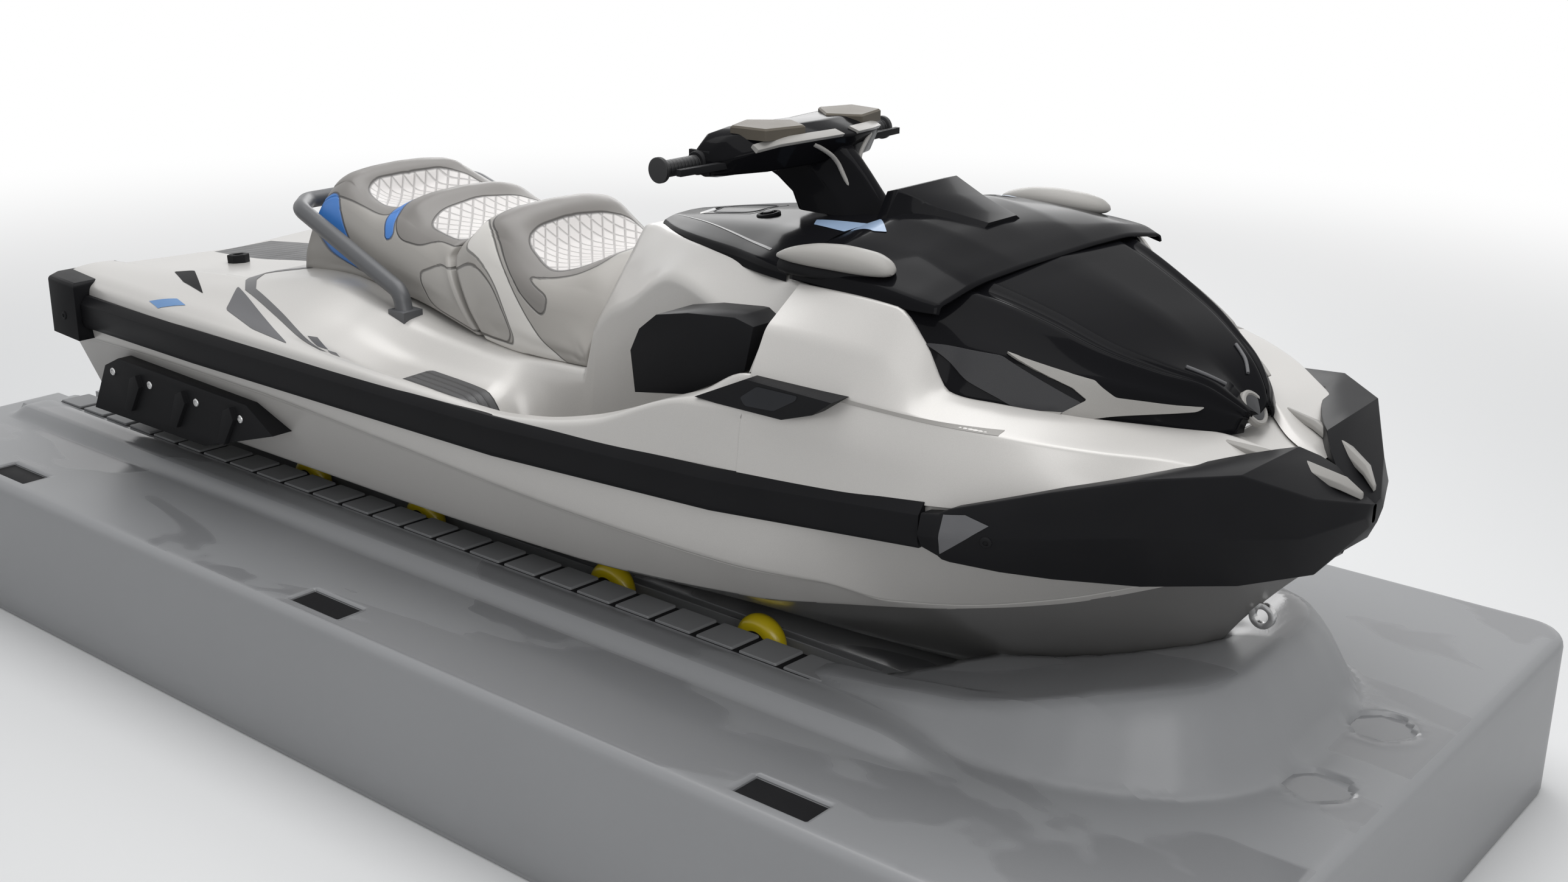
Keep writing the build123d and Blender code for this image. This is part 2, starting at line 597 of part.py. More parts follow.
with BuildPart() as levers:
    for side in (-1, 1):
        with BuildSketch(along(side * (grip_inner - 72))):
            with Locations((bar_x, bar_z)):
                Rectangle(56, 50)
        extrude(amount=-side * 70)
        blade = [(20, 200), (64, 235), (54, 370), (42, 370), (48, 240), (20, 225)]
        extrude(ring(level(bar_z - 8), [(bar_x + x, side * y) for x, y in blade]), amount=14)
    add(handlebar.part, mode=Mode.SUBTRACT)
    add(steering_cover.part, mode=Mode.SUBTRACT)
    add(bar_pad.part, mode=Mode.SUBTRACT)

# Water jet: pump housing, impeller, steering nozzle and reverse bucket under the stern
pump_aft, pump_fore = 190.0, tunnel_fore
nozzle_x, nozzle_aft, nozzle_radius, nozzle_pin = 165.0, 76.0, 62.0, 6.0
bucket_x, bucket_pin, bucket_inner, bucket_outer, bucket_half = 212.0, 8.0, 160.0, 171.0, 112.0
arm_wall = 8.0
with BuildPart() as pump_housing:
    with BuildSketch(across(pump_aft)):
        with Locations((0, pump_z)):
            Circle(pump_radius)
            Circle(pump_radius - pump_wall, mode=Mode.SUBTRACT)
    extrude(amount=pump_fore - pump_aft)
    with BuildSketch(across(pump_fore - 12)):
        with Locations((0, pump_z)):
            Circle(pump_radius + 24)
            Circle(pump_radius - pump_wall, mode=Mode.SUBTRACT)
    extrude(amount=12)
    # Ears for the nozzle's pins above and below, bosses for the bucket's arms on the sides
    for side in (-1, 1):
        ear = [(nozzle_x - 16, pump_z + side * 68), (pump_aft + 20, pump_z + side * 68),
               (pump_aft + 20, pump_z + side * 88), (nozzle_x - 16, pump_z + side * 80)]
        extrude(ring(along(), ear), amount=15, both=True)
        with BuildSketch(along(side * (pump_radius - 4))):
            with Locations((bucket_x, pump_z)):
                Circle(bucket_pin)
        extrude(amount=-side * (bucket_half - pump_radius + 4))
    with BuildSketch(level(0)):
        with Locations((nozzle_x, 0)):
            Circle(nozzle_pin + shaft_play)
    extrude(amount=400, mode=Mode.SUBTRACT)

hub_radius = 26.0
with BuildPart() as impeller:
    with BuildSketch(across(300)):
        with Locations((0, pump_z)):
            Circle(hub_radius)
    extrude(amount=90)
    for index in range(3):
        with BuildSketch(Plane(spot(345, 0, pump_z), x_dir=(1, 0, 0),
                               z_dir=(0, math.sin(math.radians(120 * index)),
                                      math.cos(math.radians(120 * index))))):
            Rectangle(60, 16)
        extrude(amount=pump_radius - pump_wall - 2)
    with BuildSketch(across(385)):
        with Locations((0, pump_z)):
            Circle(shaft_radius)
    extrude(amount=pump_fore - 385 + shaft_seat - 2)

with BuildPart() as jet_nozzle:
    with BuildSketch(across(nozzle_aft)):
        with Locations((0, pump_z)):
            Circle(nozzle_radius)
    extrude(amount=pump_aft - nozzle_aft - 8)
    with BuildSketch(level(pump_z - 80)):
        with Locations((nozzle_x, 0)):
            Circle(nozzle_pin)
    extrude(amount=160)
    with BuildSketch(across(nozzle_aft - 10)):
        with Locations((0, pump_z)):
            Circle(nozzle_radius - 8)
    extrude(amount=pump_aft, mode=Mode.SUBTRACT)

# Reverse bucket: a curved gate on two arms, stowed above the nozzle
stow_low, stow_high = 48.0, 104.0  # degrees above the line that runs aft from its pins
with BuildPart() as reverse_bucket:
    with BuildSketch(along()):
        with Locations((bucket_x, pump_z)):
            Circle(bucket_outer)
            Circle(bucket_inner, mode=Mode.SUBTRACT)
        gate_low = (-300 * math.cos(math.radians(stow_low)), 300 * math.sin(math.radians(stow_low)))
        gate_high = (-300 * math.cos(math.radians(stow_high)), 300 * math.sin(math.radians(stow_high)))
        with Locations((bucket_x, pump_z)):
            Polygon((0, 0), gate_high, gate_low, align=None, mode=Mode.INTERSECT)
    extrude(amount=bucket_half, both=True)
    for side in (-1, 1):
        with BuildSketch(along(side * (bucket_half - arm_wall))):
            with Locations((bucket_x, pump_z)):
                Circle(bucket_outer - 1)
                Polygon((0, -1), (gate_high[0] + 90, gate_high[1]), (gate_low[0], gate_low[1] + 60),
                        align=None, mode=Mode.INTERSECT)
                Circle(bucket_pin + 9)
                Circle(bucket_pin + shaft_play, mode=Mode.SUBTRACT)
        extrude(amount=-side * arm_wall)

# Ride plate under the pump and grate over the water intake
plate_wall = 14.0
with BuildPart() as ride_plate:
    with BuildSketch(level(-20)):
        with Locations(((120 + tunnel_fore) / 2, 0)):
            Rectangle(tunnel_fore - 120, 2 * tunnel_half)
    extrude(amount=pump_z - 20)
    add(hull_form.part, mode=Mode.INTERSECT)
    add(hull_form.part.moved(Location((0, 0, plate_wall))), mode=Mode.SUBTRACT)

with BuildPart() as intake_grate:
    with BuildSketch(level(40)):
        with Locations(((intake_aft + intake_fore) / 2, 0)):
            Rectangle(intake_fore - intake_aft, 2 * intake_half)
        with Locations(((intake_aft + intake_fore) / 2, 0)):
            with GridLocations(0, 42, 1, 4):
                Rectangle(intake_fore - intake_aft - 40, 30, mode=Mode.SUBTRACT)
    extrude(amount=12)

# Bow eye on the stem and two stern eyes on the transom
eye_wire, eye_reach = 6.0, 26.0
eye_spots = [(3262.0, 0.0, 318.0), (40.0, 400.0, 330.0), (40.0, -400.0, 330.0)]
with BuildPart() as towing_eyes:
    for x, y, z in eye_spots:
        with BuildSketch(along(y - eye_wire)):
            with Locations((x, z)):
                Circle(eye_reach)
                Circle(eye_reach - 2 * eye_wire, mode=Mode.SUBTRACT)
        extrude(amount=-2 * eye_wire)
    add(hull.part, mode=Mode.SUBTRACT)

# Folding boarding step on the transom
step_x, step_z, step_pin, step_rise, arm_width = 42.0, 236.0, 5.0, 225.0, 18.0
lug_half = 178.0
step_half = lug_half + fit_gap + arm_width
transom_x = hull_stations[0][0]
with BuildPart() as step_brackets:
    for side in (-1, 1):
        with BuildSketch(along(side * lug_half)):
            with Locations(((step_x + transom_x) / 2, step_z)):
                Rectangle(transom_x - step_x, 24)
            with Locations((step_x, step_z)):
                Circle(12)
        extrude(amount=side * 10)
        with BuildSketch(along(side * (lug_half - 1))):
            with Locations((step_x, step_z)):
                Circle(step_pin)
        extrude(amount=-side * (step_half - lug_half + 1))
    add(hull.part, mode=Mode.SUBTRACT)

with BuildPart() as boarding_step:
    for side in (-1, 1):
        with BuildSketch(along(side * (step_half - arm_width))):
            with Locations((step_x, step_z + step_rise / 2)):
                Rectangle(22, step_rise)
            with Locations((step_x, step_z)):
                Circle(11)
                Circle(step_pin + shaft_play, mode=Mode.SUBTRACT)
        extrude(amount=-side * arm_width)
    with BuildSketch(along()):
        with Locations((step_x, step_z + step_rise)):
            RectangleRounded(26, 34, 8)
    extrude(amount=step_half, both=True)

# Snap-in fenders in the footwells and their mounts on the gunwales
fender_outline = [(2105, 640), (2094, 726), (2119, 775), (2166, 812), (2250, 830), (2370, 842), (2418, 832),
                  (2396, 740), (2245, 664)]
with BuildPart() as fender_port:
    extrude(ring(along(500), fender_outline), amount=110)
    add(deck.part, mode=Mode.SUBTRACT)

with BuildPart() as fender_mount_port:
    mount_outline = [(2344, 700), (2399, 698), (2557, 699), (2629, 723), (2672, 755), (2470, 759)]
    extrude(ring(along(585), mount_outline), amount=60)
    add(deck.part, mode=Mode.SUBTRACT)

# Float module: moulded block with a keel trench, roller pits, ridges and a bow stop
roller_radius, roller_width, roller_y = 65.0, 50.0, 270.0
roller_crown = roller_width / 2
roller_z = roller_y * math.tan(deadrise) - (roller_crown + fit_gap) / math.cos(deadrise) \
    - (roller_radius - roller_crown)
roller_stations = [-215.0, 680.0, 1140.0, 1800.0, 2250.0]
axle_radius, axle_half = 10.0, 72.0
rib_gap, rib_wall, rib_top = 8.0, 34.0, 62.0

# Bow stop: a dome with sloping sides whose top climbs from the ridges to the stem
stop_edge = [(2500, 430), (2654, 466), (2873, 481), (3109, 448), (3294, 354), (3382, 214), (3402, 60)]
stop_top = [(2440, 114), (2560, 120), (2870, 166), (3100, 228), (3200, 248), (3300, 256), (3420, 256)]
stop_height, stop_slope = 180.0, 33.0
with BuildPart() as bow_stop:
    extrude(ring(level(float_deck - 8), [(x, -y) for x, y in stop_edge] + stop_edge[::-1]),
            amount=stop_height, taper=stop_slope)
    extrude(ring(along(), stop_top + [(3420, 0), (2440, 0)]), amount=600, both=True, mode=Mode.INTERSECT)

with BuildPart() as float_module:
    with BuildSketch(level(-keel_rest)):
        with Locations((stern_end + float_length / 2, 0)):
            RectangleRounded(float_length, float_width, 90)
    extrude(amount=keel_rest + float_deck)
    fillet(float_module.edges().group_by(Axis.Z)[-1], edge_round)
    for side in (-1, 1):
        ridge = [(-ridge_half, float_deck - 30), (-ridge_half, ridge_top - 12), (-ridge_half + 20, ridge_top),
                 (ridge_half - 40, ridge_top), (ridge_half, float_deck - 30)]
        extrude(ring(across(stern_end + 120), [(side * (ridge_y + y), z) for y, z in ridge]),
                amount=trench_end - stern_end - 60)
        for index in range(notch_count):
            with BuildSketch(level(float_deck + 2)):
                with Locations((notch_aft + index * notch_pitch, side * (ridge_y + ridge_half))):
                    Rectangle(notch_length, ridge_half)
            extrude(amount=60, mode=Mode.SUBTRACT)
    add(bow_stop.part)
    # Trench with two pairs of axle ribs
    trench = [(stern_end - 20, -trench_half), (trench_end - 60, -trench_half), (trench_end + 120, -120),
              (trench_end + 120, 120), (trench_end - 60, trench_half), (stern_end - 20, trench_half)]
    extrude(ring(level(trench_floor), trench), amount=400, mode=Mode.SUBTRACT)
    for side in (-1, 1):
        for reach in (-1, 1):
            centre = side * (roller_y + reach * (roller_width / 2 + rib_gap + rib_wall / 2))
            with BuildSketch(level(trench_floor - 10)):
                with Locations(((stern_end + trench_end) / 2, centre)):
                    Rectangle(trench_end - stern_end, rib_wall)
            extrude(amount=rib_top - trench_floor + 10)
    add(hull.part, mode=Mode.SUBTRACT)
    for x in roller_stations:
        for side in (-1, 1):
            with BuildSketch(along(side * roller_y)):
                with Locations((x, roller_z)):
                    Circle(axle_radius)
            extrude(amount=axle_half, both=True, mode=Mode.SUBTRACT)

with BuildPart() as roller_axles:
    for x in roller_stations:
        for side in (-1, 1):
            with BuildSketch(along(side * roller_y)):
                with Locations((x, roller_z)):
                    Circle(axle_radius)
            extrude(amount=axle_half, both=True)

with BuildPart() as roller:
    with BuildSketch(Plane.XY):
        with Locations((roller_radius - roller_crown, 0)):
            Circle(roller_crown)
        with BuildLine():
            Polyline((axle_radius + shaft_play, -roller_crown), (roller_radius - roller_crown, -roller_crown),
                     (roller_radius - roller_crown, roller_crown),
                     (axle_radius + shaft_play, roller_crown), close=True)
        make_face()
    revolve(axis=Axis.Y)

# Keel pad on the bow stop
with BuildPart() as bow_pad:
    pad_outline = [(2880, 20), (2880, 110), (3130, 240), (3180, 200), (3100, 60)]
    extrude(ring(along(), pad_outline), amount=60, both=True)
    add(hull.part, mode=Mode.SUBTRACT)

with BuildPart() as float_with_pad_seat:
    add(float_module.part)
    add(bow_pad.part, mode=Mode.SUBTRACT)

# Coupling latches let into the float's edges
latch_stations = [150.0, 1450.0, 2750.0]
latch_length, latch_width, latch_depth = 170.0, 70.0, 36.0
with BuildPart() as float_latches:
    for x in latch_stations:
        for side in (-1, 1):
            with BuildSketch(level(float_deck - latch_depth)):
                with Locations((x, side * (float_width / 2 - 75))):
                    Rectangle(latch_length, latch_width)
            extrude(amount=latch_depth - 6)

with BuildPart() as cradle_float:
    add(float_with_pad_seat.part)
    for x in latch_stations:
        for side in (-1, 1):
            with BuildSketch(level(float_deck - latch_depth)):
                with Locations((x, side * (float_width / 2 - 75))):
                    Rectangle(latch_length, latch_width)
            extrude(amount=latch_depth + 20, mode=Mode.SUBTRACT)

with BuildPart() as float_fittings:
    add(roller_axles.part)
    add(float_latches.part)

pieces = {
    "hull": hull, "stern_deck": stern_deck, "knee_deck": knee_deck, "well_deck": well_deck,
    "bow_deck": bow_deck, "engine_block": engine_block, "hood": hood, "console": console, "glove_lid": glove_lid,
    "lid_pins": lid_pins, "steering_column": steering_column, "step_brackets": step_brackets,
    "key_post": key_post, "rub_rail_port": rub_rail_port, "bow_bumper": bow_bumper,
    "stern_bumper_port": stern_bumper_port, "sponson_port": sponson_port,
    "passenger_seat": passenger_seat, "driver_seat": driver_seat, "grab_rail": grab_rail,
    "rear_deck_mat": rear_deck_mat, "cargo_anchors": cargo_anchors, "wind_deflector": wind_deflector,
    "gauge": gauge, "mirror_port": mirror_port, "hood_spears": hood_spears,
    "steering_cover": steering_cover, "bar_pad": bar_pad, "handlebar": handlebar, "grips": grips,
    "levers": levers, "pump_housing": pump_housing, "impeller": impeller, "jet_nozzle": jet_nozzle,
    "reverse_bucket": reverse_bucket, "ride_plate": ride_plate, "intake_grate": intake_grate,
    "towing_eyes": towing_eyes, "boarding_step": boarding_step,
    "fender_port": fender_port, "fender_mount_port": fender_mount_port, "float": cradle_float,
    "float_fittings": float_fittings, "bow_pad": bow_pad,
}
for name, piece in pieces.items():
    save(piece.part, name)
    if name.endswith("_port"):
        save(mirror(piece.part, about=Plane.XZ), name.replace("_port", "_starboard"))
for index, x in enumerate(roller_stations):
    for side, side_name in ((-1, "starboard"), (1, "port")):
        placed = roller.part.moved(Location(spot(x, side * roller_y, roller_z)))
        save(placed, f"roller_{side_name}_{index + 1}")
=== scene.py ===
import math
from contextlib import contextmanager
import bpy
import bmesh
import numpy as np
from mathutils import Vector, Matrix, geometry
from mathutils.bvhtree import BVHTree


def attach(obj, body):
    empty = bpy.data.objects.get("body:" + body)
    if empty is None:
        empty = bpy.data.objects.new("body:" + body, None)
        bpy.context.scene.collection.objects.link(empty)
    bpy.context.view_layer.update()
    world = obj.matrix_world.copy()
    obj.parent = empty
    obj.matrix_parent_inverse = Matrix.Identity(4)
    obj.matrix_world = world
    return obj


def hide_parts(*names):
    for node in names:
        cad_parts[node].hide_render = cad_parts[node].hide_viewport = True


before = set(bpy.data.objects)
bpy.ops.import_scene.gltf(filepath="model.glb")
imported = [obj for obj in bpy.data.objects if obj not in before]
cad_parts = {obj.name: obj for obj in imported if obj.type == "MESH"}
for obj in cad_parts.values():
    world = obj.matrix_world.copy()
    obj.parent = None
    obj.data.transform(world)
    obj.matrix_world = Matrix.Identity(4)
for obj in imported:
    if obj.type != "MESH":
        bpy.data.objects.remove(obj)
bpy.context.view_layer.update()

# Stations x run forward from the craft's stern and heights z up from its keel, in millimetres
STERN, KEEL = -1.575, 0.290
SIDES = ((1, "port"), (-1, "starboard"))


def place(points):
    """Millimetres of station, side and height to metres of the shared frame."""
    return np.asarray(points, float) * 0.001 + (STERN, 0.0, KEEL)


def spot(x, y, z):
    return Vector(place([(x, y, z)])[0])


# Materials
def set_inputs(tree, node, inputs):
    """A node's inputs from values, or from sockets to link from."""
    for key, value in inputs.items():
        if isinstance(value, bpy.types.NodeSocket):
            tree.links.new(value, node.inputs[key])
        else:
            node.inputs[key].default_value = value


def add_node(tree, kind, inputs=None, **settings):
    node = tree.nodes.new("ShaderNode" + kind)
    for key, value in settings.items():
        setattr(node, key, value)
    set_inputs(tree, node, inputs or {})
    return node


def add_math(tree, operation, *values):
    return add_node(tree, "Math", dict(enumerate(values)), operation=operation).outputs["Value"]


def add_vector(tree, operation, *values):
    return add_node(tree, "VectorMath", dict(enumerate(values)), operation=operation).outputs


def add_range(tree, value, low=(0.0, 1.0), to=(0.0, 1.0), **settings):
    limits = {"Value": value, "From Min": low[0], "From Max": low[1], "To Min": to[0], "To Max": to[1]}
    return add_node(tree, "MapRange", limits, **settings).outputs["Result"]


def add_mix(tree, factor, a, b, blend="MIX"):
    inputs = {"Factor": factor, "A": a, "B": b}
    return add_node(tree, "Mix", inputs, data_type="RGBA", blend_type=blend).outputs["Result"]


def shaded(color, factor=1.0):
    return (*[min(1, c * factor) for c in color], 1)


def surface_of(m):
    """A material's node tree, its surface and the socket that gives its colour so far."""
    bsdf = m.node_tree.nodes["Principled BSDF"]
    return m.node_tree, bsdf, bsdf.inputs["Base Color"].links[0].from_socket


def material(name, color, rough, metallic, coat, coat_rough, vary, scale, rough_vary, bump=None, ior=1.5,
             flake=0.0):
    """Painted or moulded surface with drifting colour, uneven gloss and a fine surface texture."""
    m = bpy.data.materials.new(name)
    m.use_nodes = True
    nt = m.node_tree
    bsdf = nt.nodes["Principled BSDF"]
    set_inputs(nt, bsdf, {"Metallic": metallic, "Coat Weight": coat, "Coat Roughness": coat_rough, "IOR": ior,
                          "Base Color": (*color, 1)})
    coord = add_node(nt, "TexCoord").outputs["Object"]
    drift = add_node(nt, "TexNoise", {"Scale": scale, "Detail": 5, "Vector": coord}).outputs["Fac"]
    color_out = add_mix(nt, drift, shaded(color, 1 - vary), shaded(color, 1 + vary))
    if flake:
        grain = add_node(nt, "TexNoise", {"Scale": 900, "Detail": 2, "Vector": coord}).outputs["Fac"]
        color_out = add_mix(nt, flake, color_out, grain, "OVERLAY")
    gloss = add_range(nt, drift, to=(max(0.02, rough - rough_vary), min(1.0, rough + rough_vary)))
    set_inputs(nt, bsdf, {"Base Color": color_out, "Roughness": gloss})
    if bump:
        strength, fine_scale, depth = bump
        fine = add_node(nt, "TexNoise", {"Scale": fine_scale, "Detail": 3, "Vector": coord}).outputs["Fac"]
        texture = add_node(nt, "Bump", {"Strength": strength, "Distance": depth, "Height": fine})
        nt.links.new(texture.outputs["Normal"], bsdf.inputs["Normal"])
    return m


PEARL, YELLOW, HUB_BLACK = (0.50, 0.485, 0.465), (0.78, 0.60, 0.012), (0.018, 0.018, 0.019)
TAUPE, TAUPE_DARK, QUILT = (0.30, 0.285, 0.265), (0.165, 0.155, 0.145), (0.60, 0.575, 0.56)
PALE, BLUE = (0.60, 0.58, 0.55), (0.035, 0.17, 0.50)
# Colour, roughness, metal, coat, the coat's roughness, drift of colour, its scale, drift of gloss, and the rest;
# a bump is its strength, scale and depth
MATERIALS = {
    "pearl": (PEARL, 0.38, 0.20, 0.35, 0.18, 0.04, 2.5, 0.06, dict(flake=0.12)),
    "hull_grey": ((0.215, 0.21, 0.205), 0.32, 0.4, 0.7, 0.12, 0.06, 2.5, 0.07, dict(flake=0.14)),
    "black_gloss": ((0.006, 0.006, 0.007), 0.15, 0.0, 0.06, 0.06, 0.25, 4.0, 0.04, dict(ior=1.06)),
    "black_matt": ((0.014, 0.014, 0.015), 0.50, 0.0, 0.0, 0.2, 0.2, 9.0, 0.12,
        dict(bump=(0.35, 900, 0.0006), ior=1.13)),
    "bumper": ((0.010, 0.010, 0.011), 0.38, 0.0, 0.05, 0.25, 0.25, 5.0, 0.10,
        dict(bump=(0.15, 700, 0.0004), ior=1.12)),
    "rail_grey": ((0.075, 0.077, 0.082), 0.42, 0.0, 0.1, 0.3, 0.1, 9.0, 0.08, dict(bump=(0.2, 900, 0.0005))),
    "silver": ((0.30, 0.29, 0.275), 0.36, 0.0, 0.0, 0.15, 0.05, 8.0, 0.05, dict(flake=0.10, ior=1.22)),
    "alloy": ((0.50, 0.51, 0.52), 0.42, 0.9, 0.0, 0.1, 0.08, 12.0, 0.08, dict(bump=(0.3, 500, 0.0005))),
    "steel": ((0.55, 0.55, 0.55), 0.24, 1.0, 0.0, 0.1, 0.05, 20.0, 0.06, dict()),
    "iron": ((0.09, 0.09, 0.092), 0.6, 0.4, 0.0, 0.2, 0.2, 9.0, 0.1, dict(bump=(0.5, 300, 0.001))),
    "yellow": (YELLOW, 0.34, 0.0, 0.3, 0.15, 0.10, 14.0, 0.10, dict(bump=(0.15, 300, 0.0006))),
    "mat_foam": ((0.045, 0.045, 0.047), 0.42, 0.0, 0.1, 0.3, 0.2, 6.0, 0.16, dict(bump=(0.3, 700, 0.0006))),
    "display": ((0.012, 0.013, 0.016), 0.14, 0.0, 0.1, 0.05, 0.2, 9.0, 0.03, dict(ior=1.3)),
    "insert": ((0.026, 0.026, 0.028), 0.42, 0.0, 0.0, 0.3, 0.15, 9.0, 0.10,
        dict(bump=(0.45, 1100, 0.0006), ior=1.3)),
    "decal_dark": ((0.055, 0.055, 0.058), 0.40, 0.0, 0.2, 0.2, 0.1, 12.0, 0.06, dict()),
    "vent_grey": ((0.12, 0.12, 0.125), 0.50, 0.0, 0.0, 0.2, 0.1, 12.0, 0.08,
        dict(bump=(0.4, 800, 0.0005), ior=1.25)),
    "pad_grey": ((0.21, 0.212, 0.216), 0.50, 0.0, 0.0, 0.2, 0.12, 7.0, 0.12,
        dict(bump=(0.35, 420, 0.0006), ior=1.4)),
    "blue": ((0.06, 0.19, 0.42), 0.36, 0.0, 0.3, 0.15, 0.08, 12.0, 0.06, dict()),
    "pale_blue": ((0.24, 0.33, 0.47), 0.36, 0.0, 0.3, 0.15, 0.06, 18.0, 0.06, dict()),
    "olive": ((0.105, 0.093, 0.076), 0.42, 0.0, 0.0, 0.2, 0.08, 12.0, 0.06, dict(flake=0.10, ior=1.15)),
    "facet": ((0.045, 0.045, 0.047), 0.34, 0.0, 0.2, 0.2, 0.2, 6.0, 0.08, dict(bump=(0.15, 700, 0.0004))),
    "float_plastic": ((0.245, 0.248, 0.255), 0.36, 0.0, 0.0, 0.1, 0.08, 1.6, 0.14,
        dict(bump=(0.25, 260, 0.0005))),
    "grip": ((0.014, 0.014, 0.015), 0.5, 0.0, 0.0, 0.2, 0.15, 12.0, 0.08, dict(ior=1.42)),
    "roller": (YELLOW, 0.34, 0.0, 0.3, 0.15, 0.08, 14.0, 0.10, dict(bump=(0.15, 300, 0.0006))),
    "seat_vinyl": (TAUPE, 0.42, 0.0, 0.12, 0.3, 0.05, 5.0, 0.07, dict(bump=(0.25, 520.0, 0.0006))),
}
M = {name: material(name, *row[:-1], **row[-1]) for name, row in MATERIALS.items()}


def wave_grooves(m, scale, depth):
    """Straight moulded grooves: a bump, and a darker line in each that paints the shade in the groove."""
    nt, bsdf, color = surface_of(m)
    coord = add_node(nt, "TexCoord").outputs["Object"]
    wave = add_node(nt, "TexWave", {"Scale": scale, "Vector": coord}, bands_direction="Y").outputs["Fac"]
    edge = add_range(nt, wave, (0.06, 0.30))
    groove = add_node(nt, "Bump", {"Strength": 0.8, "Distance": depth, "Height": edge})
    if bsdf.inputs["Normal"].is_linked:
        nt.links.new(bsdf.inputs["Normal"].links[0].from_socket, groove.inputs["Normal"])
    # Painted shade: the colour darkened along each groove
    darker = add_mix(nt, 1.0, color, add_range(nt, edge, to=(0.45, 1.0)), "MULTIPLY")
    set_inputs(nt, bsdf, {"Base Color": darker, "Normal": groove.outputs["Normal"]})


def wet_patches(m):
    """Standing water on a moulded top: smooth shallow patches, a touch darker, among the dull ones."""
    nt, bsdf, color = surface_of(m)
    coord = add_node(nt, "TexCoord").outputs["Object"]
    stretch = add_node(nt, "Mapping", {"Scale": (0.55, 1.5, 1.0), "Vector": coord}).outputs["Vector"]
    patches = add_node(nt, "TexNoise", {"Scale": 2.1, "Detail": 3, "Distortion": 0.6, "Vector": stretch})
    edge = add_range(nt, patches.outputs["Fac"], (0.50, 0.53))
    facing = add_node(nt, "SeparateXYZ", {"Vector": add_node(nt, "NewGeometry").outputs["Normal"]})
    wet = add_math(nt, "MULTIPLY", edge, add_range(nt, facing.outputs["Z"], (0.90, 0.99)))
    dry = bsdf.inputs["Roughness"].links[0].from_socket
    gloss = add_node(nt, "Mix", {"Factor": wet, "A": dry, "B": 0.10}).outputs["Result"]
    darker = add_mix(nt, 1.0, color, add_range(nt, wet, to=(1.0, 0.86)), "MULTIPLY")
    set_inputs(nt, bsdf, {"Base Color": darker, "Roughness": gloss})


def tyre_and_hub(m):
    """Coloured tyre on a black hub, told apart by the distance from the axle."""
    nt, bsdf, tyre = surface_of(m)
    centred = add_vector(nt, "SUBTRACT", add_node(nt, "TexCoord").outputs["Generated"], (0.5, 0.5, 0.5))["Vector"]
    away = add_vector(nt, "LENGTH", add_vector(nt, "MULTIPLY", centred, (1, 0, 1))["Vector"])["Value"]
    edge = add_range(nt, away, (0.255, 0.265))
    nt.links.new(add_mix(nt, edge, shaded(HUB_BLACK), tyre), bsdf.inputs["Base Color"])


def sewn_areas(m, areas):
    """Vinyl whose areas meet at sewn seams: colour per area, a stitched groove along each border; painted shade
    darkens each groove and the quilting lines.
    """
    nt, bsdf, color = surface_of(m)

    def value_of(key):
        return add_node(nt, "Attribute", attribute_name=key).outputs["Fac"]

    folds = [add_math(nt, "PINGPONG", value_of(key), 0.5) for key in ("quilt_a", "quilt_b")]
    quilt = add_range(nt, add_math(nt, "MINIMUM", *folds), (0.0, 0.14), interpolation_type="SMOOTHSTEP")
    heights = []
    for key, tint, quilted in areas:
        distance = value_of(key)
        face = add_range(nt, distance, (-1.0, 1.0))
        patch = shaded(tint)
        if quilted:
            # Quilted areas darker along the quilting lines: painted shade in the creases
            patch = add_mix(nt, quilt, shaded(tint, 0.66), shaded(tint))
            heights.append(add_math(nt, "MAXIMUM", add_math(nt, "SUBTRACT", 1.0, face), quilt))
        color = add_mix(nt, face, color, patch)
        # Groove where the distance to the border is small, darkened there as painted shade
        groove = add_range(nt, add_math(nt, "ABSOLUTE", distance), (0.8, 3.2))
        color = add_mix(nt, 1.0, color, add_range(nt, groove, to=(0.35, 1.0)), "MULTIPLY")
        heights.append(groove)
    height = heights[0]
    for other in heights[1:]:
        height = add_math(nt, "MINIMUM", height, other)
    seam = add_node(nt, "Bump", {"Strength": 0.9, "Distance": 0.0025, "Height": height,
                                 "Normal": bsdf.inputs["Normal"].links[0].from_socket})
    set_inputs(nt, bsdf, {"Base Color": color, "Normal": seam.outputs["Normal"]})


# Areas of the seats, with their colour and whether they are quilted
AREAS = [("roll", TAUPE_DARK, False), ("roll_b", TAUPE_DARK, False), ("panel", (0.34, 0.325, 0.305), False),
         ("band", PALE, False), ("insert_a", QUILT, True), ("insert_b", QUILT, True), ("wedge", BLUE, False),
         ("stripe", BLUE, False)]
wave_grooves(M["mat_foam"], 15.0, 0.002)
wave_grooves(M["grip"], 30.0, 0.0015)
wet_patches(M["float_plastic"])
tyre_and_hub(M["roller"])
sewn_areas(M["seat_vinyl"], AREAS)


# Mesh helpers
def new_mesh(name, verts, faces, looks, index=None, smooth=True):
    """Mesh object with the materials that looks names, and each face's place among them."""
    me = bpy.data.meshes.new(name)
    me.from_pydata([tuple(v) for v in verts], [], [tuple(f) for f in faces])
    ob = bpy.data.objects.new(name, me)
    bpy.context.scene.collection.objects.link(ob)
    for look in looks.split():
        me.materials.append(M[look])
    if index is not None:
        me.polygons.foreach_set("material_index", np.asarray(index, np.int32))
    me.polygons.foreach_set("use_smooth", [smooth] * len(me.polygons))
    me.update()
    return ob


@contextmanager
def edited(ob):
    """An object's mesh as a bmesh, written back at the end."""
    bm = bmesh.new()
    bm.from_mesh(ob.data)
    yield bm
    bm.to_mesh(ob.data)
    bm.free()


def finish_normals(ob, weld=0.0002, flip=False):
    with edited(ob) as bm:
        bmesh.ops.remove_doubles(bm, verts=bm.verts, dist=weld)
        bmesh.ops.recalc_face_normals(bm, faces=bm.faces)
        if flip:
            bmesh.ops.reverse_faces(bm, faces=bm.faces)


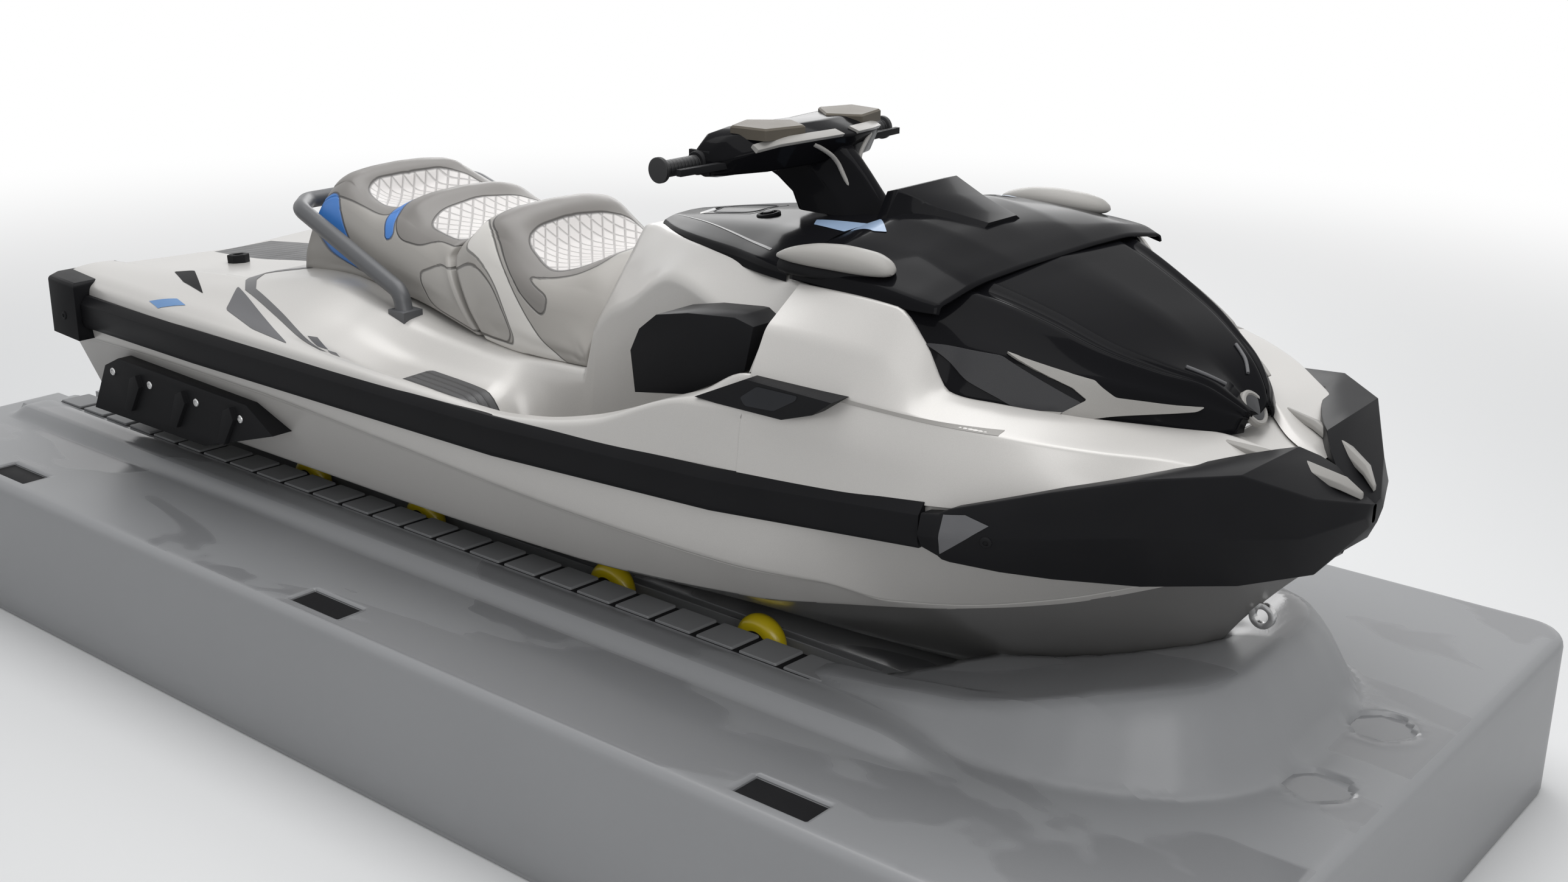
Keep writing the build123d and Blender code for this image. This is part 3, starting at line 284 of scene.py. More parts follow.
def spread(rows, fine):
    """Sample stations along a table: its own rows and even steps between them."""
    xs = [r[0] for r in rows]
    out = []
    for a, b in zip(xs, xs[1:]):
        n = max(1, int(round((b - a) / fine)))
        out += [a + (b - a) * k / n for k in range(n)]
    return out + [xs[-1]]


TINY = 1e-9


def smooth_rows(table, samples):
    """A table's columns read at each sample along its first column, without overshoot."""
    t = np.array(table, float)
    xs, ys = t[:, 0], t[:, 1:]
    samples = np.asarray(samples, float)
    h = np.diff(xs)[:, None]
    d = np.diff(ys, axis=0) / h
    m = np.empty_like(ys)
    m[0], m[-1] = d[0], d[-1]
    top, low = 2 * d[:-1] * d[1:], d[:-1] + d[1:]
    m[1:-1] = np.where(d[:-1] * d[1:] > 0, top / np.where(low == 0, 1, low), 0)
    i = np.clip(np.searchsorted(xs, samples, side="right") - 1, 0, len(xs) - 2)
    u = ((samples - xs[i]) / h[i, 0])[:, None]
    return ((1 + 2 * u) * (1 - u) ** 2 * ys[i] + u * (1 - u) ** 2 * h[i] * m[i]
            + u * u * (3 - 2 * u) * ys[i + 1] + u * u * (u - 1) * h[i] * m[i + 1])


def rounded(points, radii, arc=4, run=3, crown=None, close=False):
    """A section's outline with its corners rounded; every outline gets as many points."""
    p = np.asarray(points, float)
    n = len(p)
    out, ends = [], []
    for k in range(n):
        if not close and k in (0, n - 1):
            ends.append((p[k], p[k], None))
            continue
        a, b, c = p[k - 1], p[k], p[(k + 1) % n]
        la, lc = np.linalg.norm(b - a), np.linalg.norm(c - b)
        r = min(radii[k], 0.45 * la, 0.45 * lc)
        ends.append((b + (a - b) * (r / la if la > TINY else 0), b + (c - b) * (r / lc if lc > TINY else 0), b))
    for k in range(n):
        start, stop, mid = ends[k]
        if mid is None:
            out.append(start)
        else:
            for s in np.linspace(0, 1, arc + 1):
                out.append((1 - s) ** 2 * start + 2 * s * (1 - s) * mid + s * s * stop)
        if k < n - 1 or close:
            nxt = ends[(k + 1) % n][0]
            span = nxt - stop
            side = np.array([-span[1], span[0]]) if len(span) == 2 else np.zeros(len(span))
            length = np.linalg.norm(span)
            bulge = (crown[k] if crown else 0.0) * (side / length if length > TINY else side)
            for s in np.linspace(0, 1, run + 2)[1:-1]:
                out.append(stop + span * s + bulge * 4 * s * (1 - s))
    return np.array(out)


def curved(outline, radius, arc):
    """A closed outline with its corners rounded."""
    return rounded(outline, [radius] * len(outline), arc=arc, run=1, close=True)


def grid_faces(rows, cols, close=False):
    faces = []
    for i in range(rows - 1):
        for j in range(cols if close else cols - 1):
            k = (j + 1) % cols
            faces.append((i * cols + j, i * cols + k, (i + 1) * cols + k, (i + 1) * cols + j))
    return faces


def skin(name, table, fine, radii, looks, arc=5, run=4, crown=None, lift=0.003, body="craft", pick=None):
    """Smooth shell through sections of (y, z) points, mirrored to both sides."""
    stations = spread(table, fine)
    verts = []
    for x, row in zip(stations, smooth_rows(table, stations)):
        pts = rounded(row.reshape(-1, 2), radii, arc, run, crown)
        verts.append(np.column_stack([np.full(len(pts), x), pts]))
    v = np.vstack(verts)
    faces = grid_faces(len(stations), len(verts[0]))
    index = [pick(v[list(f)].mean(0)) for f in faces] * 2 if pick else None
    faces += [tuple(i + len(v) for i in f[::-1]) for f in faces]
    ob = new_mesh(name, place(np.vstack([v, v * (1, -1, 1)])), faces, looks, index)
    finish_normals(ob)
    co = np.array([x.co + x.normal * lift for x in ob.data.vertices])
    ob.data.vertices.foreach_set("co", co.ravel())
    ob.data.update()
    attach(ob, body)
    return ob


def wrap(ob, width, segments=2, angle=35):
    """Small rounded edges on a faceted piece."""
    b = ob.modifiers.new("edges", "BEVEL")
    b.width, b.segments, b.limit_method, b.angle_limit = width, segments, "ANGLE", math.radians(angle)
    b.harden_normals = True


def thicken(ob, thickness):
    s = ob.modifiers.new("wall", "SOLIDIFY")
    s.thickness, s.offset = thickness, -1.0


def bvh_of(*obs):
    verts, polys = [], []
    for ob in obs:
        base = len(verts)
        verts += [v.co.copy() for v in ob.data.vertices]
        polys += [[base + i for i in p.vertices] for p in ob.data.polygons]
    return BVHTree.FromPolygons(verts, polys)


def inside(points, poly):
    x, y = points[:, 0], points[:, 1]
    hit = np.zeros(len(points), bool)
    for (x1, y1), (x2, y2) in zip(poly, np.roll(poly, -1, axis=0)):
        cross = (y1 > y) != (y2 > y)
        with np.errstate(divide="ignore", invalid="ignore"):
            hit ^= cross & (x < (x2 - x1) * (y - y1) / (y2 - y1 if y2 != y1 else 1e-12) + x1)
    return hit


# Shares of a cell by which an emblem's inner points are shifted, and keep off its edge
GRID_SHIFT, EDGE_FREE = 0.31, 0.45
# Where rays onto the shells start, in millimetres beside the craft and above its keel
BESIDE, ABOVE = 900, 1600


def emblem(name, outline, target, axis, look, cell=12.0, lift=0.0012, wall=0.0, body="craft", side=1, mirror=True,
           round_by=0):
    """Thin panel cut to an outline in side view (x, z) or plan (x, y) and laid on a shell."""
    poly = curved(outline, round_by, 4) if round_by else np.asarray(outline, float)
    dense = []
    for a, b in zip(poly, np.roll(poly, -1, axis=0)):
        n = max(1, int(np.ceil(np.linalg.norm(b - a) / cell)))
        dense += [a + (b - a) * k / n for k in range(n)]
    dense = np.array(dense)
    lo, hi = poly.min(0), poly.max(0)
    gx, gy = np.meshgrid(np.arange(lo[0], hi[0], cell), np.arange(lo[1], hi[1], cell))
    pts = np.column_stack([gx.ravel(), gy.ravel()]) + cell * GRID_SHIFT
    keep = inside(pts, poly)
    if keep.any():
        near = np.min(np.linalg.norm(pts[:, None] - dense[None], axis=2), axis=1)
        keep &= near > cell * EDGE_FREE
    n = len(dense)
    co, _, faces, *_ = geometry.delaunay_2d_cdt([Vector(p) for p in np.vstack([dense, pts[keep]])],
                                                [(i, (i + 1) % n) for i in range(n)], [], 1, 1e-4)
    made = []
    for s in ((1, -1) if mirror else (side,)):
        out = Vector((0, s, 0)) if axis == "y" else Vector((0, 0, 1))
        verts = []
        for c in co:
            origin = spot(c[0], s * BESIDE, c[1]) if axis == "y" else spot(c[0], s * c[1], ABOVE)
            hit, normal, _, _ = target.ray_cast(origin, -out)
            if hit is None:
                hit, normal, _, _ = target.find_nearest(origin)
            if normal.dot(out) < 0:
                normal = -normal
            verts.append(hit + normal * lift)
        ob = new_mesh(name + ("_port" if s > 0 else "_starboard") if mirror else name, verts, faces, look)
        finish_normals(ob)
        if sum((p.normal * p.area for p in ob.data.polygons), Vector()).dot(out) < 0:
            finish_normals(ob, flip=True)
        if wall:
            thicken(ob, wall)
            wrap(ob, min(0.0012, wall * 0.3))
        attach(ob, body)
        made.append(ob)
    return made


def tube(name, points, radius, look, body, resolution=4, cyclic=False):
    cu = bpy.data.curves.new(name, "CURVE")
    cu.dimensions = "3D"
    cu.bevel_depth, cu.bevel_resolution, cu.use_fill_caps = radius, resolution, True
    sp = cu.splines.new("NURBS")
    sp.points.add(len(points) - 1)
    for k, p in enumerate(points):
        sp.points[k].co = (*p, 1)
    sp.order_u, sp.use_endpoint_u, sp.use_cyclic_u = 3, not cyclic, cyclic
    sp.resolution_u = 6
    ob = bpy.data.objects.new(name, cu)
    bpy.context.scene.collection.objects.link(ob)
    me = bpy.data.meshes.new_from_object(ob.evaluated_get(bpy.context.evaluated_depsgraph_get()))
    bpy.data.objects.remove(ob)
    me.materials.clear()
    me.materials.append(M[look])
    made = bpy.data.objects.new(name, me)
    bpy.context.scene.collection.objects.link(made)
    me.polygons.foreach_set("use_smooth", [True] * len(me.polygons))
    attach(made, body)


def ring_at(plane, at, outline, radius):
    """Closed rounded outline in a plane across x, y or z, as points in millimetres."""
    flat = curved(outline, radius, 3)
    return np.insert(flat, "xyz".index(plane), float(at), axis=1)


def end_faces(count, n):
    """Faces over the first and the last of count rings of n points."""
    return [tuple(range(n))[::-1], tuple(range((count - 1) * n, count * n))]


def shell(name, rings, look, body="craft", mirror=False, smooth=True):
    """Closed piece through rings of equal point count, on one side or on both."""
    n = len(rings[0])
    faces = grid_faces(len(rings), n, close=True) + end_faces(len(rings), n)
    made = []
    for s, side in SIDES if mirror else ((1, ""),):
        ob = new_mesh(f"{name}_{side}" if mirror else name, place(np.vstack(rings) * (1, s, 1)), faces, look,
                      smooth=smooth)
        finish_normals(ob)
        wrap(ob, 0.002, 2, 40)
        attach(ob, body)
        made.append(ob)
    return made


def turned(name, profile, centre, axis, look, body="craft", sides=24):
    """Round piece from a profile of (radius, height) in millimetres on a spot in metres."""
    turn = Vector(axis).normalized().to_track_quat("Z", "Y")
    verts = []
    for r, h in profile:
        for k in range(sides):
            a = 2 * math.pi * k / sides
            verts.append(Vector(centre) + turn @ (Vector((r * math.cos(a), r * math.sin(a), h)) * 0.001))
    faces = grid_faces(len(profile), sides, close=True) + end_faces(len(profile), sides)
    ob = new_mesh(name, verts, faces, look)
    finish_normals(ob, weld=0.00001)
    wrap(ob, 0.0006, 2, 30)
    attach(ob, body)


BOLT = [(11, -2), (11, 1.5), (9.5, 3.6), (5.2, 4.2), (4.8, 1.2), (0.8, 1.0)]


def bolt(name, target, x, z, s, look):
    """Round-headed bolt on a side face, seen from that side."""
    hit, normal, _, _ = target.ray_cast(spot(x, s * BESIDE, z), Vector((0, -s, 0)))
    if hit is not None:
        turned(name, BOLT, hit, normal if normal.y * s > 0 else -normal, look, sides=20)


def drop_on(target, x, y):
    """Where a plumb line from above meets a shell, and the shell's normal there."""
    return target.ray_cast(spot(x, y, 1100), Vector((0, 0, -1)))[:2]


def shade_smooth_group():
    group = bpy.data.node_groups.new("smooth_faces", "GeometryNodeTree")
    group.interface.new_socket("Geometry", in_out="INPUT", socket_type="NodeSocketGeometry")
    group.interface.new_socket("Geometry", in_out="OUTPUT", socket_type="NodeSocketGeometry")
    first, last = group.nodes.new("NodeGroupInput"), group.nodes.new("NodeGroupOutput")
    smooth = group.nodes.new("GeometryNodeSetShadeSmooth")
    group.links.new(first.outputs[0], smooth.inputs["Geometry"])
    group.links.new(smooth.outputs["Geometry"], last.inputs[0])
    return group


SMOOTH = shade_smooth_group()


def dress(ob, width, inset):
    """Modifiers that round a CAD piece's edges, or draw its faces in under a skin."""
    ob.modifiers.new("weld", "WELD").merge_threshold = 0.00003
    if inset:
        pull = ob.modifiers.new("inset", "DISPLACE")
        pull.strength, pull.mid_level = -inset, 0.0
    merge = ob.modifiers.new("merge", "DECIMATE")
    merge.decimate_type, merge.angle_limit = "DISSOLVE", math.radians(0.6)
    ob.modifiers.new("shade", "NODES").node_group = SMOOTH
    if width:
        wrap(ob, width, 3, 32)


# Hull and deck
HULL = [  # x, keel y z, tunnel edge y z, chine y z, step low y z, step high y z, sheer y z
    (60, 0, 0, 168, 74, 475, 206, 553, 398, 560, 408, 572, 500),
    (500, 0, 0, 168, 75, 486, 212, 566, 412, 574, 421, 590, 500),
    (900, 0, 0, 168, 75, 492, 216, 574, 414, 583, 424, 598, 502),
    (1400, 0, 0, 168, 76, 494, 218, 578, 398, 588, 408, 603, 506),
    (1900, 0, 0, 168, 77, 488, 226, 574, 374, 585, 384, 601, 514),
    (2400, 0, 6, 150, 84, 460, 264, 550, 362, 562, 373, 588, 528),
    (2600, 0, 18, 130, 92, 430, 298, 500, 364, 522, 374, 573, 538),
    (2700, 0, 30, 118, 100, 408, 314, 428, 330, 434, 337, 562, 543),
    (2800, 0, 44, 104, 110, 382, 330, 388, 337, 394, 344, 548, 549),
    (3000, 0, 108, 70, 150, 305, 372, 312, 379, 320, 388, 500, 560),
    (3139, 0, 194, 45, 226, 215, 412, 222, 420, 231, 428, 436, 568),
    (3231, 0, 314, 28, 334, 140, 444, 146, 450, 156, 458, 372, 574),
    (3330, 0, 424, 14, 436, 70, 478, 76, 484, 84, 490, 275, 580),
    (3400, 0, 484, 8, 490, 30, 510, 36, 514, 42, 520, 150, 586),
]
# Left open in the hull's skin: the pump tunnel up to (x, y), and the water intake from x to x, up to y
TUNNEL, INTAKE = (430, 168), (600, 950, 85)


def shade_below_chine(c):
    """1 for a point of the hull below its chine, else 0; those faces take a darker grey as painted shade and
    painted dark reflection.
    """
    return int(c[2] < np.interp(c[0], [r[0] for r in HULL], [r[6] for r in HULL]) - 2)


# Below the chine the hull takes a darker grey: painted shade and painted dark reflection
hull_skin = skin("hull_skin", HULL, 16, [0, 30, 10, 5, 8, 0], "pearl hull_grey", arc=4, crown=[0, 0, 0, 4, 0, 3],
                 pick=shade_below_chine)
with edited(hull_skin) as bm:
    lost = []
    for f in bm.faces:
        c = f.calc_center_median()
        x, y = (c.x - STERN) * 1000, abs(c.y) * 1000
        if (x < TUNNEL[0] and y < TUNNEL[1]) or (INTAKE[0] < x < INTAKE[1] and y < INTAKE[2]):
            lost.append(f)
    bmesh.ops.delete(bm, geom=lost, context="FACES")

AFT = [  # x, rail, gunwale, rim, well outer, well inner, waist, top (y z each), centre
    (22, 556, 500, 550, 545, 520, 566, 480, 571, 440, 571, 400, 568, 376, 556, 0, 538),
    (300, 580, 505, 572, 552, 542, 572, 500, 580, 455, 587, 398, 590, 376, 578, 0, 561),
    (520, 594, 510, 586, 555, 556, 574, 505, 586, 455, 598, 392, 609, 376, 604, 0, 580),
    (632, 598, 515, 590, 556, 560, 573, 508, 586, 455, 604, 388, 614, 376, 612, 0, 590),
    (646, 598, 515, 590, 556, 560, 573, 508, 586, 455, 604, 388, 616, 350, 622, 0, 622),
    (905, 603, 520, 597, 557, 564, 569, 508, 577, 432, 610, 350, 647, 300, 648, 0, 648),
    (1090, 606, 525, 600, 557, 567, 565, 518, 550, 425, 572, 345, 614, 288, 622, 0, 622),
    (1300, 609, 527, 603, 556, 570, 560, 524, 512, 395, 517, 326, 572, 286, 577, 0, 577),
    (1540, 611, 528, 605, 552, 572, 553, 524, 500, 380, 500, 306, 545, 284, 557, 0, 557),
    (1650, 611, 528, 605, 549, 570, 549, 518, 372, 330, 364, 294, 530, 281, 562, 0, 562),
    (1745, 611, 528, 604, 547, 567, 547, 514, 362, 300, 362, 286, 545, 279, 566, 0, 566),
    (1757, 611, 528, 604, 547, 567, 547, 513, 362, 298, 362, 266, 660, 95, 868, 0, 868),
    (1900, 610, 530, 603, 560, 564, 561, 508, 362, 300, 362, 300, 752, 168, 884, 0, 884),
    (2063, 607, 540, 598, 592, 560, 600, 500, 362, 318, 362, 336, 842, 246, 892, 0, 892),
    (2335, 596, 556, 584, 690, 550, 705, 462, 362, 385, 362, 416, 796, 338, 898, 0, 898),
    (2440, 590, 565, 577, 693, 548, 761, 434, 380, 414, 380, 430, 792, 388, 898, 0, 898),
    (2458, 588, 566, 574, 690, 544, 762, 432, 380, 412, 380, 428, 792, 388, 898, 0, 898),
]
aft_skin = skin("deck_aft_skin", AFT, 14, [0, 9, 14, 30, 30, 18, 12, 0], "pearl")

BOW = [  # x, under rail, shoulder, crease, recess, seam edge, flange (y z each)
    (2455, 590, 566, 576, 690, 546, 764, 506, 838, 404, 904, 392, 890),
    (2600, 574, 576, 562, 688, 537, 758, 500, 836, 426, 910, 412, 896),
    (2700, 562, 582, 550, 684, 528, 750, 490, 828, 430, 906, 414, 890),
    (2760, 553, 586, 540, 680, 521, 744, 480, 796, 432, 852, 414, 838),
    (2815, 545, 590, 531, 676, 513, 738, 470, 760, 430, 770, 412, 756),
    (2900, 527, 596, 510, 671, 490, 730, 425, 747, 386, 752, 370, 738),
    (3000, 497, 604, 477, 667, 452, 720, 352, 735, 318, 736, 302, 722),
    (3100, 454, 612, 430, 663, 392, 708, 240, 714, 214, 714, 200, 700),
    (3190, 400, 620, 370, 658, 312, 694, 150, 696, 120, 697, 104, 684),
    (3260, 346, 624, 312, 652, 252, 676, 92, 668, 62, 668, 40, 660),
    (3340, 264, 620, 232, 640, 182, 655, 42, 642, 20, 642, 0, 640),
]
bow_skin = skin("deck_bow_skin", BOW, 12, [0, 60, 5, 14, 6, 0], "pearl", arc=6, run=5)
# Front wall of the footwells, from the well's end section out to the bow panels
WELL_END, BOW_END = 2442, 2456
WALL = [(WELL_END, 541, 756), (BOW_END, 546, 764), (BOW_END, 506, 838), (BOW_END, 404, 904), (WELL_END, 388, 898),
        (WELL_END, 430, 792), (WELL_END, 414, 380), (WELL_END, 434, 380)]
footwell_wall = new_mesh("footwell_front_walls", place([(x, s * y, z) for s in (1, -1) for x, y, z in WALL]),
                         [tuple(range(8)), tuple(range(15, 7, -1))], "pearl", smooth=False)
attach(footwell_wall, "craft")

# Hood
HOOD = [  # x, edge, rim, side crease, ridge, ridge inner, centre (y z each)
    (2700, 426, 896, 424, 906, 402, 915, 330, 934, 250, 940, 0, 948),
    (2760, 428, 838, 428, 850, 392, 884, 306, 922, 236, 930, 0, 940),
    (2815, 426, 762, 426, 774, 384, 846, 288, 908, 222, 914, 0, 922),
    (2900, 380, 745, 379, 756, 342, 824, 260, 878, 200, 884, 0, 894),
    (3000, 312, 729, 311, 741, 282, 795, 226, 836, 176, 842, 0, 856),
    (3090, 222, 712, 221, 724, 206, 768, 168, 800, 128, 806, 0, 806),
    (3150, 168, 700, 167, 712, 150, 745, 118, 778, 84, 780, 0, 764),
    (3195, 112, 690, 111, 700, 98, 722, 74, 742, 50, 742, 0, 722),
    (3215, 60, 688, 59, 696, 50, 706, 40, 716, 26, 716, 0, 706),
]
hood_skin = skin("hood_skin", HOOD, 9, [0, 3, 7, 5, 6, 0], "black_gloss", crown=[0, 0, 3, 6, 0, 0], lift=0.002,
                 body="hood")
thicken(hood_skin, 0.004)
COWL = [  # x, edge, side, shoulder, crown, centre (y z each)
    (2408, 380, 902, 376, 922, 290, 952, 148, 968, 0, 974),
    (2500, 404, 905, 398, 934, 302, 972, 152, 998, 0, 1006),
    (2620, 424, 906, 418, 934, 308, 966, 148, 984, 0, 988),
    (2720, 428, 904, 424, 926, 300, 950, 140, 958, 0, 958),
    (2776, 410, 900, 404, 914, 280, 934, 128, 938, 0, 938),
]
cowl_skin = skin("cowl_skin", COWL, 12, [0, 12, 40, 14, 0], "black_gloss", lift=0.002, body="hood")
thicken(cowl_skin, 0.005)
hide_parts("hood")
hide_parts("hood")

hood_bvh = bvh_of(hood_skin)
emblem("hood_insert", [(2760, 850), (2877, 832), (3014, 756), (2961, 726), (2838, 790)], hood_bvh, "y", "insert",
       cell=9, lift=0.003, wall=0.004, body="hood", round_by=8)
for piece in emblem("hood_spear", [(2880, 836), (3018, 793), (3052, 765), (3168, 742), (3160, 736), (3048, 733),
                                   (2968, 726), (3016, 762), (2992, 782)],
                    hood_bvh, "y", "silver", cell=8, lift=0.0065, wall=0.006, body="hood", round_by=4):
    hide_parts("hood_spears")

# Console
CONSOLE = [  # x, edge, side, crown, centre
    (1806, 92, 862, 90, 884, 55, 893, 0, 895),
    (1900, 160, 872, 158, 892, 95, 906, 0, 912),
    (1992, 214, 880, 211, 900, 124, 918, 0, 924),
    (2100, 262, 884, 258, 906, 150, 930, 0, 938),
    (2200, 300, 886, 296, 910, 176, 940, 0, 950),
    (2300, 344, 890, 340, 914, 206, 952, 0, 962),
    (2398, 378, 894, 374, 918, 226, 958, 0, 966),
]
console_skin = skin("console_skin", CONSOLE, 10, [0, 10, 30, 0], "black_gloss", lift=0.002)

# Seats
QUILT_PITCH = 38.0
PASSENGER = [  # x of the top, then y z of foot, belly, side, edge, arm, basin, centre z, foot's x from the top's
    (748, 262, 624, 276, 670, 262, 748, 236, 806, 180, 850, 90, 862, 864, -52),
    (775, 263, 627, 278, 675, 262, 770, 222, 838, 170, 866, 90, 877, 880, -50),
    (805, 264, 631, 279, 680, 262, 776, 216, 846, 158, 868, 84, 868, 866, -42),
    (840, 265, 636, 280, 684, 262, 772, 222, 838, 162, 842, 88, 814, 808, -30),
    (900, 266, 646, 281, 688, 264, 762, 230, 818, 172, 814, 96, 800, 797, -10),
    (960, 266, 642, 282, 688, 266, 748, 236, 798, 180, 804, 100, 803, 806, 10),
    (1005, 266, 636, 282, 682, 267, 740, 238, 792, 178, 824, 94, 838, 842, 30),
    (1042, 266, 629, 282, 676, 268, 734, 240, 786, 182, 826, 100, 846, 850, 48),
    (1082, 266, 622, 282, 668, 269, 726, 243, 776, 192, 804, 112, 818, 824, 66),
    (1120, 266, 612, 282, 660, 270, 716, 246, 764, 200, 786, 120, 795, 796, 84),
    (1180, 267, 592, 282, 640, 271, 700, 249, 748, 204, 774, 120, 780, 780, 112),
    (1246, 268, 570, 282, 620, 272, 684, 250, 734, 206, 766, 120, 772, 773, 138),
]
DRIVER = [
    (1256, 268, 569, 282, 620, 272, 684, 250, 734, 206, 768, 120, 775, 776, 138),
    (1290, 268, 566, 282, 618, 272, 694, 250, 756, 204, 798, 116, 813, 816, 128),
    (1330, 268, 562, 282, 616, 271, 704, 246, 780, 200, 832, 112, 848, 851, 116),
    (1364, 268, 560, 282, 614, 270, 706, 242, 786, 196, 838, 108, 855, 859, 106),
    (1398, 268, 558, 282, 610, 269, 700, 242, 782, 190, 830, 104, 842, 846, 96),
    (1430, 268, 558, 282, 606, 268, 692, 243, 770, 184, 812, 98, 800, 797, 88),
    (1470, 268, 560, 282, 602, 267, 678, 246, 748, 186, 782, 100, 764, 761, 78),
    (1530, 268, 561, 281, 598, 265, 658, 248, 718, 194, 748, 108, 749, 750, 62),
    (1590, 268, 563, 280, 596, 260, 646, 238, 702, 182, 740, 106, 754, 758, 46),
    (1640, 268, 565, 279, 595, 254, 642, 226, 698, 164, 748, 92, 778, 785, 32),
    (1690, 268, 567, 278, 594, 246, 636, 212, 688, 150, 738, 80, 766, 775, 18),
    (1729, 266, 568, 274, 592, 236, 628, 198, 672, 138, 712, 70, 736, 742, 8),
]


def signed(points, poly):
    """Distance of each point to a closed outline, positive inside."""
    poly = np.asarray(poly, float)
    best = np.full(len(points), 1e9)
    for a, b in zip(poly, np.roll(poly, -1, axis=0)):
        ab = b - a
        t = np.clip(((points - a) @ ab) / (ab @ ab), 0, 1)
        best = np.minimum(best, np.linalg.norm(points - a - t[:, None] * ab, axis=1))
    return np.where(inside(points, poly), best, -best)


def attribute(ob, name, values):
    a = ob.data.attributes.new(name, "FLOAT", "POINT")
    a.data.foreach_set("value", np.asarray(values, np.float32))


def values_of(me, name):
    return np.array([x.value for x in me.attributes[name].data])


def seat_form(table):
    """Closed form through a seat's sections: points, faces, and each point's station and place in the section."""
    xs = spread(table, 11)
    floor_y = np.linspace(-1, 1, 13)[1:-1]
    verts, tags = [], []
    for x, row in zip(xs, smooth_rows(table, xs)):
        pts = np.array([*zip(row[0:12:2], row[1:12:2]), (0, row[12])])
        marks = np.column_stack([pts, np.arange(7.0)])
        line = rounded(marks, [0, 26, 40, 30, 34, 30, 0], arc=5, run=3)
        foot_z, top_z = pts[0, 1], pts[3, 1]
        lean = row[13] * np.clip(1 - (line[:, 1] - foot_z) / (top_z - foot_z), 0, 1)
        half = np.column_stack([x + lean, line[:, 0], line[:, 1]])
        tag = np.column_stack([np.full(len(line), x), line[:, 2]])
        # Over the top from side to side, then the floor between the feet
        floor = [(half[0, 0], y * half[0, 1], half[0, 2]) for y in floor_y]
        verts.append(np.vstack([half, (half * (1, -1, 1))[-2::-1], floor]))
        tags.append(np.vstack([tag, tag[-2::-1], [(x, 0.0)] * len(floor_y)]))
    n, cols = len(verts[0]), len(half)
    over = 2 * cols - 1
    faces = grid_faces(len(verts), n, close=True)
    for base, flip in ((0, False), ((len(verts) - 1) * n, True)):
        # End wall: rungs between mirrored points of the section, and the floor's points at its foot
        wall = []
        for k in range(cols - 1):
            a, b, c, d = base + k, base + k + 1, base + over - 2 - k, base + over - 1 - k
            wall.append((a, b, d) if b == c else (a, b, c, d))
        wall.append((base + over - 1, *range(base + over, base + n), base))
        faces += [f if flip else f[::-1] for f in wall]
    return np.vstack(verts), faces, np.vstack(tags)


def puff(ob, held, cap):
    """Cloth pressure for 15 frames with the held points fixed; no point moves further than cap."""
    rest = np.array([x.co for x in ob.data.vertices])
    group = ob.vertex_groups.new(name="foot")
    group.add([int(i) for i in np.nonzero(held)[0]], 1.0, "REPLACE")
    cloth = ob.modifiers.new("puff", "CLOTH")
    cloth.settings.use_pressure = True
    cloth.settings.uniform_pressure_force = 4
    cloth.settings.effector_weights.gravity = 0
    cloth.settings.vertex_group_mass = "foot"
    scene = bpy.context.scene
    for f in range(1, 16):
        scene.frame_set(f)
    dg = bpy.context.evaluated_depsgraph_get()
    moved = np.array([x.co for x in ob.evaluated_get(dg).data.vertices])
    ob.modifiers.remove(cloth)
    scene.frame_set(1)
    step = moved - rest
    step *= np.minimum(1, cap / np.maximum(np.linalg.norm(step, axis=1, keepdims=True), 1e-9))
    ob.data.vertices.foreach_set("co", (rest + step).ravel())


def seat_cushion(name, table, node, areas):
    """Padded seat, puffed by cloth pressure, with its areas as attributes for the seams."""
    verts, faces, tags = seat_form(table)
    ob = new_mesh(name, place(verts), faces, "seat_vinyl")
    attribute(ob, "along", tags[:, 0])
    attribute(ob, "round", tags[:, 1])
    with edited(ob) as bm:
        bmesh.ops.recalc_face_normals(bm, faces=bm.faces)
    puff(ob, tags[:, 1] < 0.35, SEAT_PUFF)
    sub = ob.modifiers.new("smooth", "SUBSURF")
    sub.levels = sub.render_levels = 1
    me = bpy.data.meshes.new_from_object(ob.evaluated_get(bpy.context.evaluated_depsgraph_get()))
    ob.modifiers.remove(sub)
    ob.data = me
    along = values_of(me, "along")
    flat = np.column_stack([along, values_of(me, "round") * ROUND_SCALE])
    for key, *_ in AREAS:
        poly = np.array(areas.get(key, []), float)
        inner = signed(flat, curved(poly * (1, ROUND_SCALE), 26, 5)) if len(poly) else np.full(len(flat), -99.0)
        attribute(ob, key, inner)
    across = np.array([x.co.y for x in me.vertices]) * 1000
    attribute(ob, "quilt_a", (along + across) / QUILT_PITCH)
    attribute(ob, "quilt_b", (along - across) / QUILT_PITCH)
    me.polygons.foreach_set("use_smooth", [True] * len(me.polygons))
    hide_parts(node)
    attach(ob, "craft")


SEAT_PUFF = 0.007
ROUND_SCALE = 50.0  # millimetres that one step from corner to corner of a section counts for
